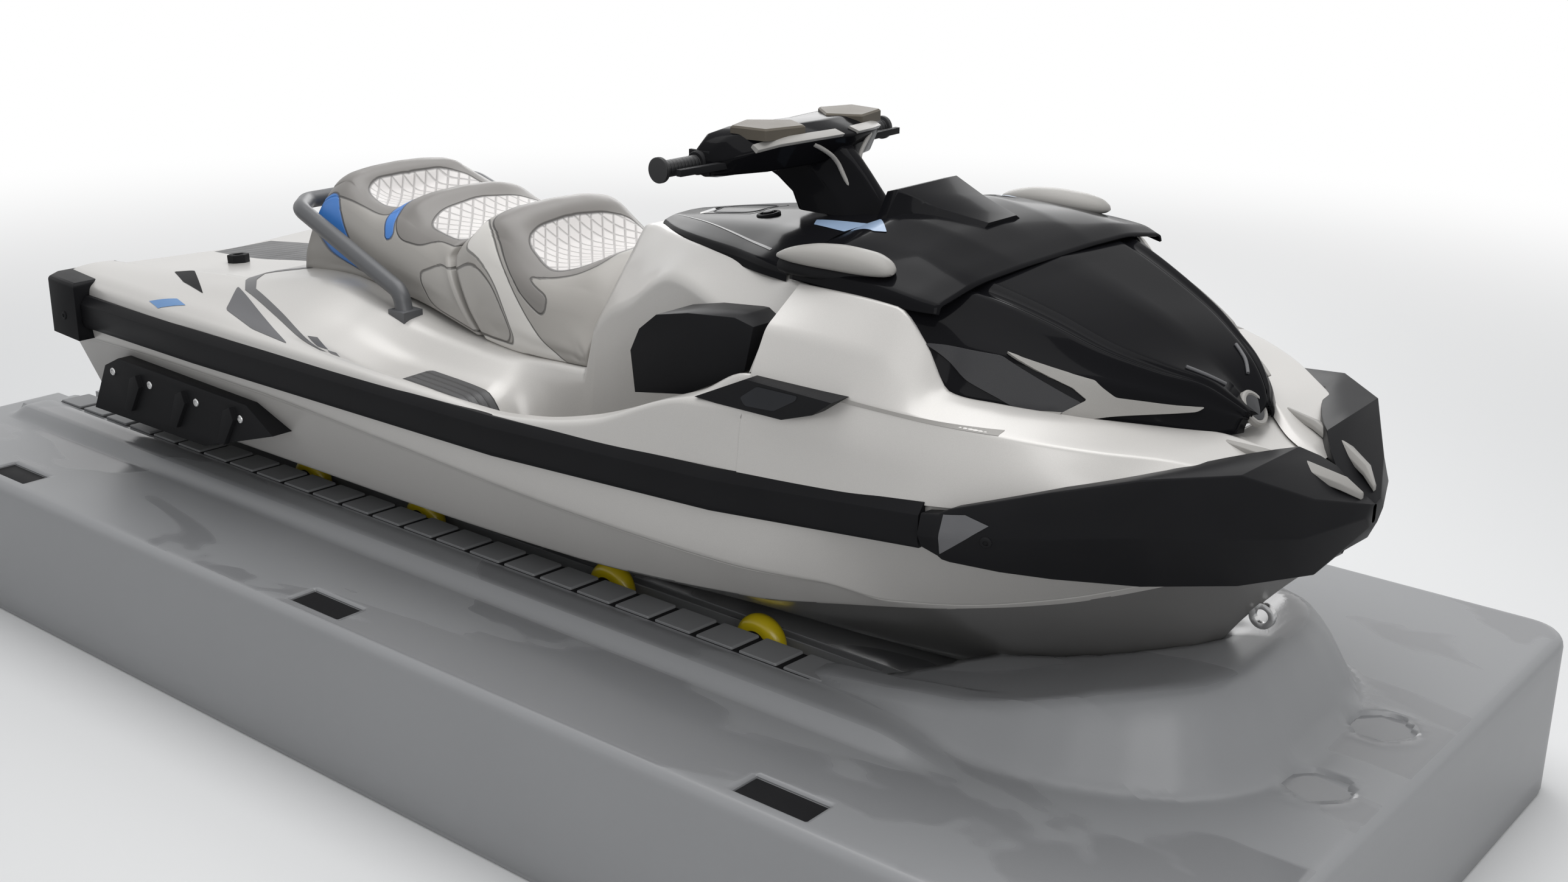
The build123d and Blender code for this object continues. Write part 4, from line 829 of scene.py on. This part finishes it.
# Outlines of the areas: station, and place in the section from 0 at the foot to 6 at the centre
seat_cushion("passenger_cushion", PASSENGER, "passenger_seat", {
    "roll": [(735, 2.75), (800, 2.7), (1010, 3.5), (1010, 6.3), (735, 6.3)],
    "roll_b": [(1002, 6.3), (1000, 3.8), (1060, 2.5), (1140, 2.9), (1180, 3.6), (1260, 3.7), (1260, 6.3)],
    "panel": [(1130, 0.25), (1262, 0.25), (1262, 2.5), (1210, 2.6), (1120, 1.6)],
    "insert_a": [(812, 6.3), (818, 4.6), (850, 3.95), (930, 3.95), (975, 4.4), (992, 6.3)],
    "insert_b": [(1078, 6.3), (1090, 4.7), (1120, 4.05), (1225, 4.05), (1250, 4.6), (1252, 6.3)],
    "wedge": [(738, 2.1), (744, 2.95), (800, 2.9), (905, 1.6), (985, 0.45), (930, 0.5), (820, 1.35)],
    "stripe": [(972, 5.1), (1000, 5.2), (1008, 3.9), (1040, 2.6), (1015, 2.2), (985, 3.4)],
})
seat_cushion("driver_cushion", DRIVER, "driver_seat", {
    "roll": [(1330, 6.3), (1345, 3.9), (1400, 3.3), (1480, 2.4), (1560, 2.05), (1575, 2.9), (1500, 3.2),
             (1640, 4.4), (1640, 6.3)],
    "panel": [(1240, 0.35), (1395, 0.4), (1418, 1.0), (1385, 1.9), (1310, 2.6), (1240, 2.5)],
    "band": [(1262, -0.4), (1262, 0.3), (1415, 0.4), (1424, 1.0), (1395, 2.0), (1305, 3.0), (1290, 3.6),
             (1325, 4.2), (1352, 3.7), (1405, 3.0), (1500, 1.7), (1640, 0.1), (1640, -0.4)],
    "insert_a": [(1412, 6.3), (1420, 4.7), (1452, 4.0), (1555, 4.0), (1590, 4.6), (1600, 6.3)],
})

# Deck trim, in plan view: vents, stripes and patches let into the aft deck
aft_bvh = bvh_of(aft_skin)
hull_bvh = bvh_of(hull_skin)
bow_bvh = bvh_of(bow_skin)
for name, outline, look, corner in (
        ("corner_vent", [(356, 424), (407, 396), (600, 500), (467, 470)], "black_matt", 10),
        ("side_vent", [(742, 532), (664, 440), (890, 520), (1060, 584), (903, 571)], "vent_grey", 14),
        ("side_stripe", [(754, 222), (776, 236), (654, 350), (680, 394), (732, 434), (1180, 560), (1160, 566),
                         (706, 448), (646, 404), (610, 340)], "decal_dark", 0),
        ("tag_patch", [(471, 574), (554, 546), (612, 560), (528, 586)], "blue", 0),
        ("chevron_a", [(1040, 512), (1062, 500), (1130, 522), (1108, 534)], "decal_dark", 0),
        ("chevron_b", [(1134, 527), (1152, 516), (1200, 534), (1182, 546)], "decal_dark", 0),
        ("chevron_c", [(1206, 541), (1222, 530), (1262, 544), (1246, 556)], "decal_dark", 0)):
    emblem(name, outline, aft_bvh, "z", look, cell=9, lift=0.0010, round_by=corner)
# Traction mats in the footwells
emblem("well_mat", [(1700, 338), (1960, 332), (2060, 354), (2240, 404), (2240, 456), (2060, 486), (1700, 500)],
       aft_bvh, "z", "mat_foam", cell=14, lift=0.002, wall=0.004, round_by=20)
emblem("knee_mat", [(1350, 402), (1620, 396), (1620, 508), (1350, 508)], aft_bvh, "z", "mat_foam", cell=14,
       lift=0.002, wall=0.004, round_by=20)
# Raised edge of the side panels: a silver strip along the crease, a painted highlight
emblem("panel_crease_highlight", [(2452, 756), (2662, 750), (2952, 732), (2952, 727), (2662, 743), (2452, 748)], bow_bvh, "y",
       "silver", cell=9, lift=0.0012, wall=0.002)

# Steering head: neck and bar pad through their sections, with its trims
NECK = [  # z, rear x, front x, half width
    (956, 2150, 2372, 62), (990, 2130, 2350, 58), (1018, 2084, 2326, 55), (1040, 2032, 2306, 56),
    (1064, 2006, 2282, 60), (1092, 2016, 2252, 64), (1112, 2050, 2214, 60), (1124, 2080, 2180, 48)]
neck_rings = []
for z, rear, front, half in NECK:
    length = front - rear
    side = [(rear, 0.62 * half), (rear + 0.10 * length, half), (front - 0.36 * length, half), (front, 0.30 * half)]
    neck_rings.append(ring_at("z", z, side + [(x, -y) for x, y in reversed(side)], 12))
neck = shell("steering_neck", neck_rings, "black_gloss", "steering")[0]
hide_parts("steering_cover")
PAD = [  # y, then x z of the section's seven corners
    (0, 1998, 1076, 2012, 1104, 2092, 1136, 2180, 1140, 2262, 1118, 2236, 1066, 2090, 1048),
    (90, 2002, 1072, 2012, 1100, 2080, 1136, 2176, 1140, 2246, 1116, 2220, 1060, 2088, 1044),
    (170, 2010, 1064, 2018, 1094, 2066, 1134, 2150, 1137, 2206, 1108, 2180, 1052, 2086, 1038),
    (222, 2022, 1056, 2028, 1084, 2056, 1124, 2112, 1122, 2156, 1090, 2136, 1048, 2076, 1034),
    (250, 2032, 1054, 2036, 1078, 2058, 1102, 2094, 1100, 2124, 1080, 2112, 1050, 2072, 1038),
    (262, 2044, 1060, 2048, 1071, 2064, 1080, 2080, 1080, 2092, 1072, 2088, 1060, 2066, 1051)]
pad_rings = []
for row in [(-r[0], *r[1:]) for r in PAD[:0:-1]] + PAD:
    pad_rings.append(ring_at("y", row[0], list(zip(row[1::2], row[2::2])), 7))
pad = shell("bar_pad_cover", pad_rings, "black_gloss", "steering")[0]
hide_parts("bar_pad")
PLATE = [(2072, 122), (2146, 56), (2214, 96), (2190, 196), (2102, 206)]
plate_rings = [ring_at("z", z, [(2144 + (x - 2144) * share, 135 + (y - 135) * share) for x, y in PLATE], 4)
               for z, share in ((1118, 1.0), (1139, 1.0), (1143, 0.94))]
shell("head_panel", plate_rings, "olive", "steering", mirror=True, smooth=False)
EDGE_PLATE = [  # y, front x z, top x z
    (24, 2259, 1119, 2232, 1127), (90, 2247, 1117, 2221, 1126), (170, 2208, 1109, 2188, 1119),
    (206, 2178, 1098, 2162, 1108)]
plate_rings = [ring_at("y", y, [(fx + 2, fz + 3), (tx + 2, tz + 3), (tx - 3, tz - 4), (fx - 5, fz - 5)], 1.5)
               for y, fx, fz, tx, tz in EDGE_PLATE]
shell("head_front", plate_rings, "silver", "steering", mirror=True)
for s, side in SIDES:
    leg = [(2236, 96, 1106), (2246, 62, 1088), (2252, 36, 1064), (2264, 33, 1040), (2280, 32, 1016),
           (2298, 31, 990)]
    tube("neck_trim_" + side, place([(x, s * y, z) for x, y, z in leg]), 0.0048, "silver", "steering", resolution=4)
    turned("bar_clamp_" + side, [(23, -16), (25, -12), (25, 12), (23, 16)], spot(2062, s * 252, 1068), (0, s, 0),
           "black_matt", "steering")
# Dash: glovebox lid's outline, key recess and the pale strip before the column
console_bvh = bvh_of(console_skin)
LID_HOLE = [(1876, 46), (1876, -46), (1896, -67), (2038, -67), (2048, -57), (2048, 57), (2038, 67), (1896, 67)]
LID_TOP = [(1900, 62), (1900, -62), (2036, -64), (2045, -55), (2045, 55), (2036, 64)]
LID_NEAR = 0.12
edge = place([(x, y, 0) for x, y in LID_HOLE])[:, :2]
centre = Vector((*edge.mean(0), 0.0))
with edited(console_skin) as bm:
    for a, b in zip(edge, np.roll(edge, -1, axis=0)):
        near = [f for f in bm.faces if (f.calc_center_median() - centre).xy.length < LID_NEAR]
        geom = set(near) | {e for f in near for e in f.edges} | {v for f in near for v in f.verts}
        bmesh.ops.bisect_plane(bm, geom=list(geom), dist=0.00005, plane_co=(*a, 0),
                               plane_no=(b[1] - a[1], a[0] - b[0], 0))
    opened = [f for f in bm.faces if inside(np.array([f.calc_center_median()[:2]]), edge)[0]]
    bmesh.ops.delete(bm, geom=opened, context="FACES")
emblem("glove_lid_top", LID_TOP, console_bvh, "z", "black_gloss", cell=9, lift=0.0004, wall=0.003, body="glove_lid",
       mirror=False)
lid_line = [(1908, 50), (1906, 0), (1908, -50), (1972, -54), (2034, -50), (2036, 0), (2034, 50), (1972, 54)]
tube("lid_line", [drop_on(console_bvh, x, y)[0] + Vector((0, 0, 0.0005)) for x, y in lid_line], 0.0014, "vent_grey",
     "glove_lid", resolution=3, cyclic=True)
emblem("dash_strip", [(2262, 116), (2394, 112), (2394, 194), (2290, 160)], console_bvh, "z", "pale_blue", cell=8,
       lift=0.0015, round_by=4)
emblem("cowl_strip", [(2414, 112), (2414, 200), (2500, 240), (2526, 232)], bvh_of(cowl_skin), "z", "pale_blue",
       cell=8, lift=0.0015, body="hood", round_by=4)
emblem("dash_seam", [(1822, 60), (1828, 64), (2290, 300), (2290, 292)], console_bvh, "z", "facet", cell=9,
       lift=0.0008)
key_hit = drop_on(console_bvh, 2095, -70)[0]
KEY_AXIS = (-0.15, -0.1, 1)
turned("key_cup", [(26, -4), (27, 2), (25, 5), (19, 5), (17, -3), (4, -3)], key_hit, KEY_AXIS, "black_matt")
turned("key_button", [(12, -3), (12, 6), (10, 8), (1, 8)], key_hit, KEY_AXIS, "bumper")

# Mirrors: silver shell caps on black bases
CAP = [(2388, 394, 948, 5, 5), (2404, 391, 950, 16, 12), (2436, 387, 953, 30, 20), (2480, 383, 956, 38, 26),
       (2540, 380, 958, 42, 28), (2596, 381, 958, 40, 26), (2632, 385, 957, 31, 20), (2652, 389, 955, 18, 11),
       (2658, 392, 954, 6, 4)]
BASE = [(2392, 392, 928, 10, 14), (2420, 386, 930, 24, 22), (2480, 378, 930, 34, 24), (2540, 372, 932, 36, 24),
        (2590, 374, 936, 30, 20), (2622, 380, 940, 14, 10)]
for name, table, look in (("mirror_cap", CAP, "silver"), ("mirror_base", BASE, "black_matt")):
    rings = []
    stations = spread(table, 10)
    a = np.linspace(0, 2 * math.pi, 21)[:-1]
    drop = np.where(np.sin(a) < 0, 0.72, 1.0)
    for x, (y0, z0, ry, rz) in zip(stations, smooth_rows(table, stations)):
        rings.append(np.column_stack([np.full(20, x), y0 + ry * np.cos(a), z0 + rz * np.sin(a) * drop]))
    for piece, node in zip(shell(name, rings, look, "hood", mirror=True), ("mirror_port", "mirror_starboard")):
        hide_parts(node)

# Nose: blank round badge, brow strips and the bow's wedges
nose_hit = hood_bvh.ray_cast(spot(3300, 0, 790), Vector((-0.80, 0, -0.6)))[0]
NOSE_AXIS = (0.8, 0, 0.6)
turned("nose_badge", [(36, -6), (36, 3), (33, 6), (28, 6), (27, 3.5), (20, 4.5), (1, 5)], nose_hit, NOSE_AXIS,
       "silver", "hood", sides=36)
turned("nose_badge_face", [(26, 0), (26, 4.4), (1, 5.6)], nose_hit, NOSE_AXIS, "display", "hood", sides=36)
BROW = [(3110, 100, 812), (3132, 84, 792), (3150, 68, 780), (3164, 46, 768)]
WEDGE = [  # x y z, half width, height
    (3215, 128, 688, 6, 4), (3280, 112, 676, 14, 9), (3350, 82, 656, 18, 12), (3410, 50, 632, 16, 12),
    (3436, 28, 612, 6, 5)]
for s, side in SIDES:
    pts = []
    for x, y, z in BROW:
        hit, normal = drop_on(hood_bvh, x, s * y)
        pts.append(spot(x, s * y, z) if hit is None else hit + normal * 0.002)
    tube("brow_" + side, pts, 0.0035, "vent_grey", "hood")
    rings = []
    for x, y, z, w, h in WEDGE:
        rings.append(ring_at("x", x, [(y - w, z), (y - 0.5 * w, z + h), (y + w, z + 0.4 * h), (y + w, z - 8),
                                      (y - w, z - 8)], 2))
    shell("bow_wedge_" + side, [r * (1, s, 1) for r in rings], "silver")

# Bow bumper in two halves, its aft facet in lighter grey as a painted sheen, bolts, and the slots of the fender
# mounts as dark patches of painted shade
BUMPER = [  # x, low, wide, high (y z each)
    (2856, 556, 520, 570, 548, 560, 586),
    (2892, 557, 512, 569, 552, 560, 592),
    (2902, 558, 508, 573, 557, 562, 600),
    (2916, 555, 506, 571, 560, 559, 608),
    (3000, 524, 500, 545, 571, 533, 636),
    (3080, 481, 495, 510, 580, 500, 662),
    (3203, 393, 487, 431, 590, 421, 692),
    (3324, 266, 481, 311, 582, 293, 694),
    (3400, 121, 477, 193, 568, 153, 630),
    (3451, 18, 549, 42, 574, 24, 597),
]
BUMPER_WALL = 90.0
bumper_rings = []
for x in spread(BUMPER, 24):
    low_y, low_z, wide_y, wide_z, high_y, high_z = (
        np.interp(x, [r[0] for r in BUMPER], [r[k] for r in BUMPER]) for k in range(1, 7))
    closing = np.interp(x, [3200, 3380], [0, 1])
    inner_low, inner_high = ((y - BUMPER_WALL) * (1 - closing) - 8 * closing for y in (low_y, high_y))
    bumper_rings.append(ring_at("x", x, [(low_y, low_z), (wide_y, wide_z), (high_y, high_z),
                                         (inner_high, high_z - 8), (inner_low, low_z + 8)], 4))
bumper_pair = shell("bow_bumper_cover", bumper_rings, "bumper", mirror=True)
for piece in bumper_pair:
    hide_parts("bow_bumper")
bumper_bvh = bvh_of(*bumper_pair)
# Painted sheen: a lighter grey patch over the bumper's aft facet
emblem("bumper_facet_sheen", [(2901, 521), (2906, 596), (2945, 602), (2988, 590)], bumper_bvh, "y",
       "vent_grey", cell=9, lift=0.0014)
for s, side in SIDES:
    bolt("bumper_bolt_" + side, bumper_bvh, 2985, 560, s, "black_matt")
    stern_bvh = bvh_of(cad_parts["stern_bumper_" + side])
    bolt("stern_bolt_" + side, stern_bvh, 106, 470, s, "black_matt")
    sponson_bvh = bvh_of(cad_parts["sponson_" + side])
    for k, x in enumerate((300, 470, 675, 860)):
        bolt(f"sponson_bolt_{side}_{k + 1}", sponson_bvh, x, 350 - 0.02 * (x - 300), s, "steel")
    mount_bvh = bvh_of(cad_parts["fender_mount_" + side])
    # Painted shade: dark patches where the mount's slots open
    emblem("mount_slot_shade_" + side, [(2458, 722), (2499, 751), (2595, 752), (2590, 742), (2539, 712), (2470, 708)],
           mount_bvh, "y", "display", cell=8, lift=0.001, mirror=False, side=s, round_by=6)

# Float: one moulded top over the block, with its ridges beside the trench and the dome under the bow
FLOAT_AFT, FLOAT_FORE, FLOAT_HALF, FLOAT_DECK, CORNER, EDGE = -450.0, 3600.0, 885.0, 90.0, 90.0, 28.0
DOME = [(2440, 400), (2459, 447), (2654, 474), (2873, 489), (3020, 478), (3109, 456), (3220, 408), (3294, 362),
        (3350, 300), (3390, 220), (3408, 120), (3412, 0)]
DOME_TOP = [(2440, 120), (2560, 124), (2700, 140), (2870, 172), (3000, 206), (3100, 234), (3200, 254), (3300, 262),
            (3420, 262)]
LATCHES = [(150, 810), (1450, 810), (2750, 810)]
LATCH_HALF, LATCH_SIDE, LATCH_DEEP = 86.5, 36.5, 30
RIDGE_RISE, TRENCH_FLOOR, HULL_CLEAR = 31, -57.0, 4
TRENCH = [(-470, -365), (2640, -365), (2820, -120), (2820, 120), (2640, 365), (-470, 365)]
POCKET = (3462.0, 150.0, 52.0)


def ease(v, a, b):
    t = np.clip((v - a) / (b - a), 0, 1)
    return t * t * (3 - 2 * t)


def lines_for(low, high, step, extra):
    marks = list(np.arange(low, high, step)) + [low, high]
    for inset in (0.0, 2.5, 7, 13, 20, 29):
        marks += [low + inset, high - inset]
    return np.unique(np.round(marks + extra, 1))


edges_x, edges_y = [], []
for x, y in LATCHES:
    edges_x += [x - 88, x - 85, x + 85, x + 88]
for y in (362, 366, 370, 378, 388, 400, 530, 542, 556, 570, 582, 773, 776, 844, 847):
    edges_y += [y, -y]
gx = lines_for(FLOAT_AFT, FLOAT_FORE, 18.0, edges_x)
gy = lines_for(-FLOAT_HALF, FLOAT_HALF, 18.0, edges_y)
X, Y = (a.ravel() for a in np.meshgrid(gx, gy, indexing="ij"))
flat = np.column_stack([X, Y])
AY = np.abs(Y)
ridge = RIDGE_RISE * ease(AY, 580, 534) * (0.77 * ease(AY, 362, 380) + 0.23 * ease(AY, 448, 466))
ridge = ridge * ease(X, -345, -295) * (1 - ease(X, 2740, 2960))
dome_half = np.array(DOME + [(x, -y) for x, y in reversed(DOME[:-1])])
into = np.clip(signed(flat, dome_half), 0, None)
dome_rise = np.interp(X, *np.array(DOME_TOP).T) - FLOAT_DECK
dome = dome_rise * np.sin(np.clip(into / (0.68 * dome_rise + 14), 0, 1) * math.pi / 2) ** 1.2 * ease(X, 2440, 2560)
top = FLOAT_DECK + np.maximum(np.maximum(ridge, dome), 0) + 0.4 * np.minimum(ridge, dome)
for x, y in LATCHES:
    top = np.where((np.abs(X - x) < LATCH_HALF) & (np.abs(AY - y) < LATCH_SIDE), FLOAT_DECK - LATCH_DEEP, top)
for side in (1, -1):
    away = np.hypot(X - POCKET[0], Y - side * POCKET[1])
    top = top - 40 * (1 - ease(away, POCKET[2] - 8, POCKET[2] + 4))
    top = top + 5 * np.exp(-((away - POCKET[2] - 12) / 9) ** 2)
# Under the bow the top stays clear of the hull
under = np.full(len(X), 1e9)
for k in np.nonzero((X > 1900) & (X < 3450) & (AY < 560) & (top > 92))[0]:
    hit = hull_bvh.ray_cast(spot(X[k], Y[k], -200), Vector((0, 0, 1)))[0]
    if hit is not None:
        under[k] = (hit.z - KEEL) * 1000
top = np.minimum(top, under - HULL_CLEAR)
top = np.where(inside(flat, np.array(TRENCH, float)), TRENCH_FLOOR, top)
# Rounded corners in plan, a rounded top edge and the skirt down to the floor
mid = (FLOAT_AFT + FLOAT_FORE) / 2
straight = (FLOAT_FORE - FLOAT_AFT) / 2 - CORNER
qx = np.clip(np.abs(X - mid) - straight, 0, None)
qy = np.clip(AY - (FLOAT_HALF - CORNER), 0, None)
reach = np.hypot(qx, qy)
shrink = np.where(reach > 0, np.maximum(qx, qy) / np.maximum(reach, 1e-9), 1.0)
PX = np.where((qx > 0) & (qy > 0), np.sign(X - mid) * (straight + qx * shrink) + mid, X)
PY = np.where((qx > 0) & (qy > 0), np.sign(Y) * (FLOAT_HALF - CORNER + qy * shrink), Y)
border = CORNER - np.maximum(qx, qy)
fall = np.where(border < EDGE, EDGE - np.sqrt(np.clip(EDGE ** 2 - (EDGE - border) ** 2, 0, None)), 0)
PZ = np.where(top > 0, top - fall, top)
rows, cols = len(gx), len(gy)
verts = np.column_stack([PX, PY, PZ])
faces = grid_faces(rows, cols)
loop = [i * cols for i in range(rows)] + [(rows - 1) * cols + j for j in range(1, cols)]
loop += [i * cols + cols - 1 for i in range(rows - 2, -1, -1)] + list(range(cols - 2, 0, -1))
rim = verts[loop]
skirt = [rim * (1, 1, 0) + (0, 0, z) for z in (20, -60, -140, -220, -276)]
skirt.append(skirt[-1] * (1 - 12 / 2000, 1 - 12 / 885, 1) + (0, 0, -12.5))
start = len(verts)
verts = np.vstack([verts, *skirt])
for ring_no in range(len(skirt)):
    upper = loop if ring_no == 0 else [start + (ring_no - 1) * len(loop) + k for k in range(len(loop))]
    lower = [start + ring_no * len(loop) + k for k in range(len(loop))]
    n = len(loop)
    faces += [(upper[k], lower[k], lower[(k + 1) % n], upper[(k + 1) % n]) for k in range(n)]
float_skin = new_mesh("float_moulding", place(verts), faces, "float_plastic")
finish_normals(float_skin)
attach(float_skin, "craft")
# Grey bearing pads along the ridges, inside their rounded outer edge, over a black sheet that paints the shade in
# the gaps between them
PAD_COUNT, PAD_AFT, PAD_PITCH = 24, -202, 118
GAP_SHADE = [(-262, 366), (-262, 452), (2560, 452), (2640, 400), (2640, 366)]
for s, side in SIDES:
    # Painted shade: a black sheet under the pads, seen in the gaps between them
    shell("ridge_bed_" + side, [ring_at("z", z, GAP_SHADE, 6) * (1, s, 1) for z in (98, 117.5)], "black_matt")
    for k in range(PAD_COUNT):
        x = PAD_AFT + PAD_PITCH * k
        pad_rings = []
        for z, w in ((108, 50), (120, 50), (123, 48)):
            outline = [(x - w, 366), (x - w - 5, 450), (x + w - 5, 450), (x + w, 366)]
            pad_rings.append(ring_at("z", z, outline, 4) * (1, s, 1))
        shell(f"ridge_pad_{side}_{k + 1}", pad_rings, "pad_grey")

# CAD nodes that stay: look, rounding of their edges, and how far those under a skin are drawn in
LOOK = {  # material, edge radius, inset
    "hull": ("hull_grey", 0, 0.009), "stern_deck": ("pearl", 0, 0.008), "well_deck": ("pearl", 0, 0.008),
    "bow_deck": ("pearl", 0, 0.008), "engine_block": ("iron", 0.004, 0),
    "console": ("black_gloss", 0, 0.004), "glove_lid": ("black_gloss", 0.002, 0),
    "lid_pins": ("steel", 0, 0), "steering_column": ("black_matt", 0.002, 0),
    "step_brackets": ("steel", 0.002, 0), "key_post": ("black_matt", 0.002, 0),
    "grab_rail": ("rail_grey", 0.006, 0), "rear_deck_mat": ("mat_foam", 0.002, 0),
    "cargo_anchors": ("black_matt", 0.003, 0), "knee_deck": ("pearl", 0, 0.008),
    "wind_deflector": ("black_gloss", 0.005, 0), "gauge": ("display", 0.004, 0),
    "handlebar": ("steel", 0, 0), "grips": ("grip", 0.003, 0), "levers": ("black_matt", 0.004, 0),
    "pump_housing": ("alloy", 0.002, 0), "impeller": ("steel", 0.001, 0), "jet_nozzle": ("alloy", 0.002, 0),
    "reverse_bucket": ("alloy", 0.002, 0), "ride_plate": ("black_matt", 0.004, 0),
    "intake_grate": ("alloy", 0.002, 0), "towing_eyes": ("steel", 0.003, 0),
    "boarding_step": ("black_matt", 0.004, 0), "float": ("float_plastic", 0.006, 0.004),
    "float_fittings": ("black_matt", 0.002, 0), "bow_pad": ("yellow", 0.01, 0),
    "rub_rail": ("bumper", 0.006, 0), "stern_bumper": ("bumper", 0.009, 0),
    "sponson": ("black_matt", 0.004, 0), "fender_": ("bumper", 0.014, 0),
    "fender_mount": ("black_matt", 0.005, 0), "roller_": ("roller", 0.003, 0),
    "bow_bumper": ("bumper", 0, 0), "steering_cover": ("black_gloss", 0, 0),
    "bar_pad": ("black_matt", 0, 0), "mirror": ("silver", 0, 0), "hood_spears": ("silver", 0, 0),
    "hood": ("black_gloss", 0, 0), "passenger_seat": ("insert", 0, 0), "driver_seat": ("insert", 0, 0),
}
for name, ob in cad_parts.items():
    look, edge, inset = LOOK[next(k for k in sorted(LOOK, key=len, reverse=True) if name.startswith(k))]
    ob.data.materials.clear()
    ob.data.materials.append(M[look])
    dress(ob, edge, inset)

# Floor, light and camera
def new_nodes(block, output):
    """Node tree of a material or world, and its output node."""
    block.use_nodes = True
    return block.node_tree, block.node_tree.nodes[output]


pale = M["pale_floor"] = bpy.data.materials.new("pale_floor")
tree, output = new_nodes(pale, "Material Output")
base = tree.nodes["Principled BSDF"]
grain = add_node(tree, "TexNoise", {"Scale": 3}).outputs["Fac"]
set_inputs(tree, base, {"Roughness": 0.7, "Base Color": add_range(tree, grain, to=(0.70, 0.74))})
# The floor fades to white away from the craft, for the camera alone
away = add_vector(tree, "LENGTH", add_node(tree, "NewGeometry").outputs["Position"])["Value"]
haze = add_range(tree, away, (2.6, 8.0), interpolation_type="SMOOTHSTEP")
seen = add_math(tree, "MULTIPLY", haze, add_node(tree, "LightPath").outputs["Is Camera Ray"])
glow = add_node(tree, "Emission", {"Color": (1, 1, 1, 1), "Strength": 1.0}).outputs["Emission"]
surface = add_node(tree, "MixShader", {"Fac": seen, 1: base.outputs["BSDF"], 2: glow})
set_inputs(tree, output, {"Surface": surface.outputs["Shader"]})
floor = new_mesh("floor", [(-40, -40, 0), (40, -40, 0), (40, 40, 0), (-40, 40, 0)], [(0, 1, 2, 3)], "pale_floor",
                 smooth=False)

world = bpy.data.worlds.new("studio")
bpy.context.scene.world = world
sky, output = new_nodes(world, "World Output")
soft = sky.nodes["Background"]
set_inputs(sky, soft, {"Color": (0.93, 0.95, 0.97, 1), "Strength": 0.55})
# White where the camera looks and where gloss and glass reflect
white = add_node(sky, "Background", {"Color": (1, 1, 1, 1), "Strength": 1.0}).outputs["Background"]
rays = add_node(sky, "LightPath").outputs
seen = add_math(sky, "MAXIMUM", rays["Is Camera Ray"], rays["Is Glossy Ray"])
seen = add_math(sky, "MAXIMUM", seen, rays["Is Transmission Ray"])
choose = add_node(sky, "MixShader", {"Fac": seen, 1: soft.outputs["Background"], 2: white})
set_inputs(sky, output, {"Surface": choose.outputs["Shader"]})


def lamp(name, place_at, aim, size, power):
    data = bpy.data.lights.new(name, "AREA")
    data.shape, data.size, data.size_y, data.energy = "RECTANGLE", size[0], size[1], power
    ob = bpy.data.objects.new(name, data)
    ob.location = place_at
    ob.rotation_mode = "QUATERNION"
    ob.rotation_quaternion = (Vector(aim) - Vector(place_at)).to_track_quat("-Z", "Y")
    bpy.context.scene.collection.objects.link(ob)


lamp("overhead", (0.3, 0.5, 4.6), (0.1, 0, 0.6), (5.0, 4.0), 160)
lamp("window", (4.2, -3.4, 3.0), (0.4, 0, 0.7), (3.0, 2.4), 60)
lamp("far_side", (-2.5, 4.0, 2.6), (0, 0, 0.7), (4.0, 2.0), 55)

AZ, EL, ROLL = (math.radians(v) for v in (39.25, 18.71, 0.63))
cam_data = bpy.data.cameras.new("view")
cam = bpy.data.objects.new("view", cam_data)
bpy.context.scene.collection.objects.link(cam)
bpy.context.scene.camera = cam
cam_data.sensor_width, cam_data.lens = 36.0, 41.88
cam.location = (2.988, -3.031, 2.020)
forward = Vector((-math.sin(AZ) * math.cos(EL), math.cos(AZ) * math.cos(EL), -math.sin(EL)))
right = forward.cross(Vector((0, 0, 1))).normalized()
up = right.cross(forward)
right, up = math.cos(ROLL) * right + math.sin(ROLL) * up, -math.sin(ROLL) * right + math.cos(ROLL) * up
cam.matrix_world = Matrix.Translation(cam.location) @ Matrix((right, up, -forward)).transposed().to_4x4()

bpy.context.scene.view_settings.view_transform = "Standard"
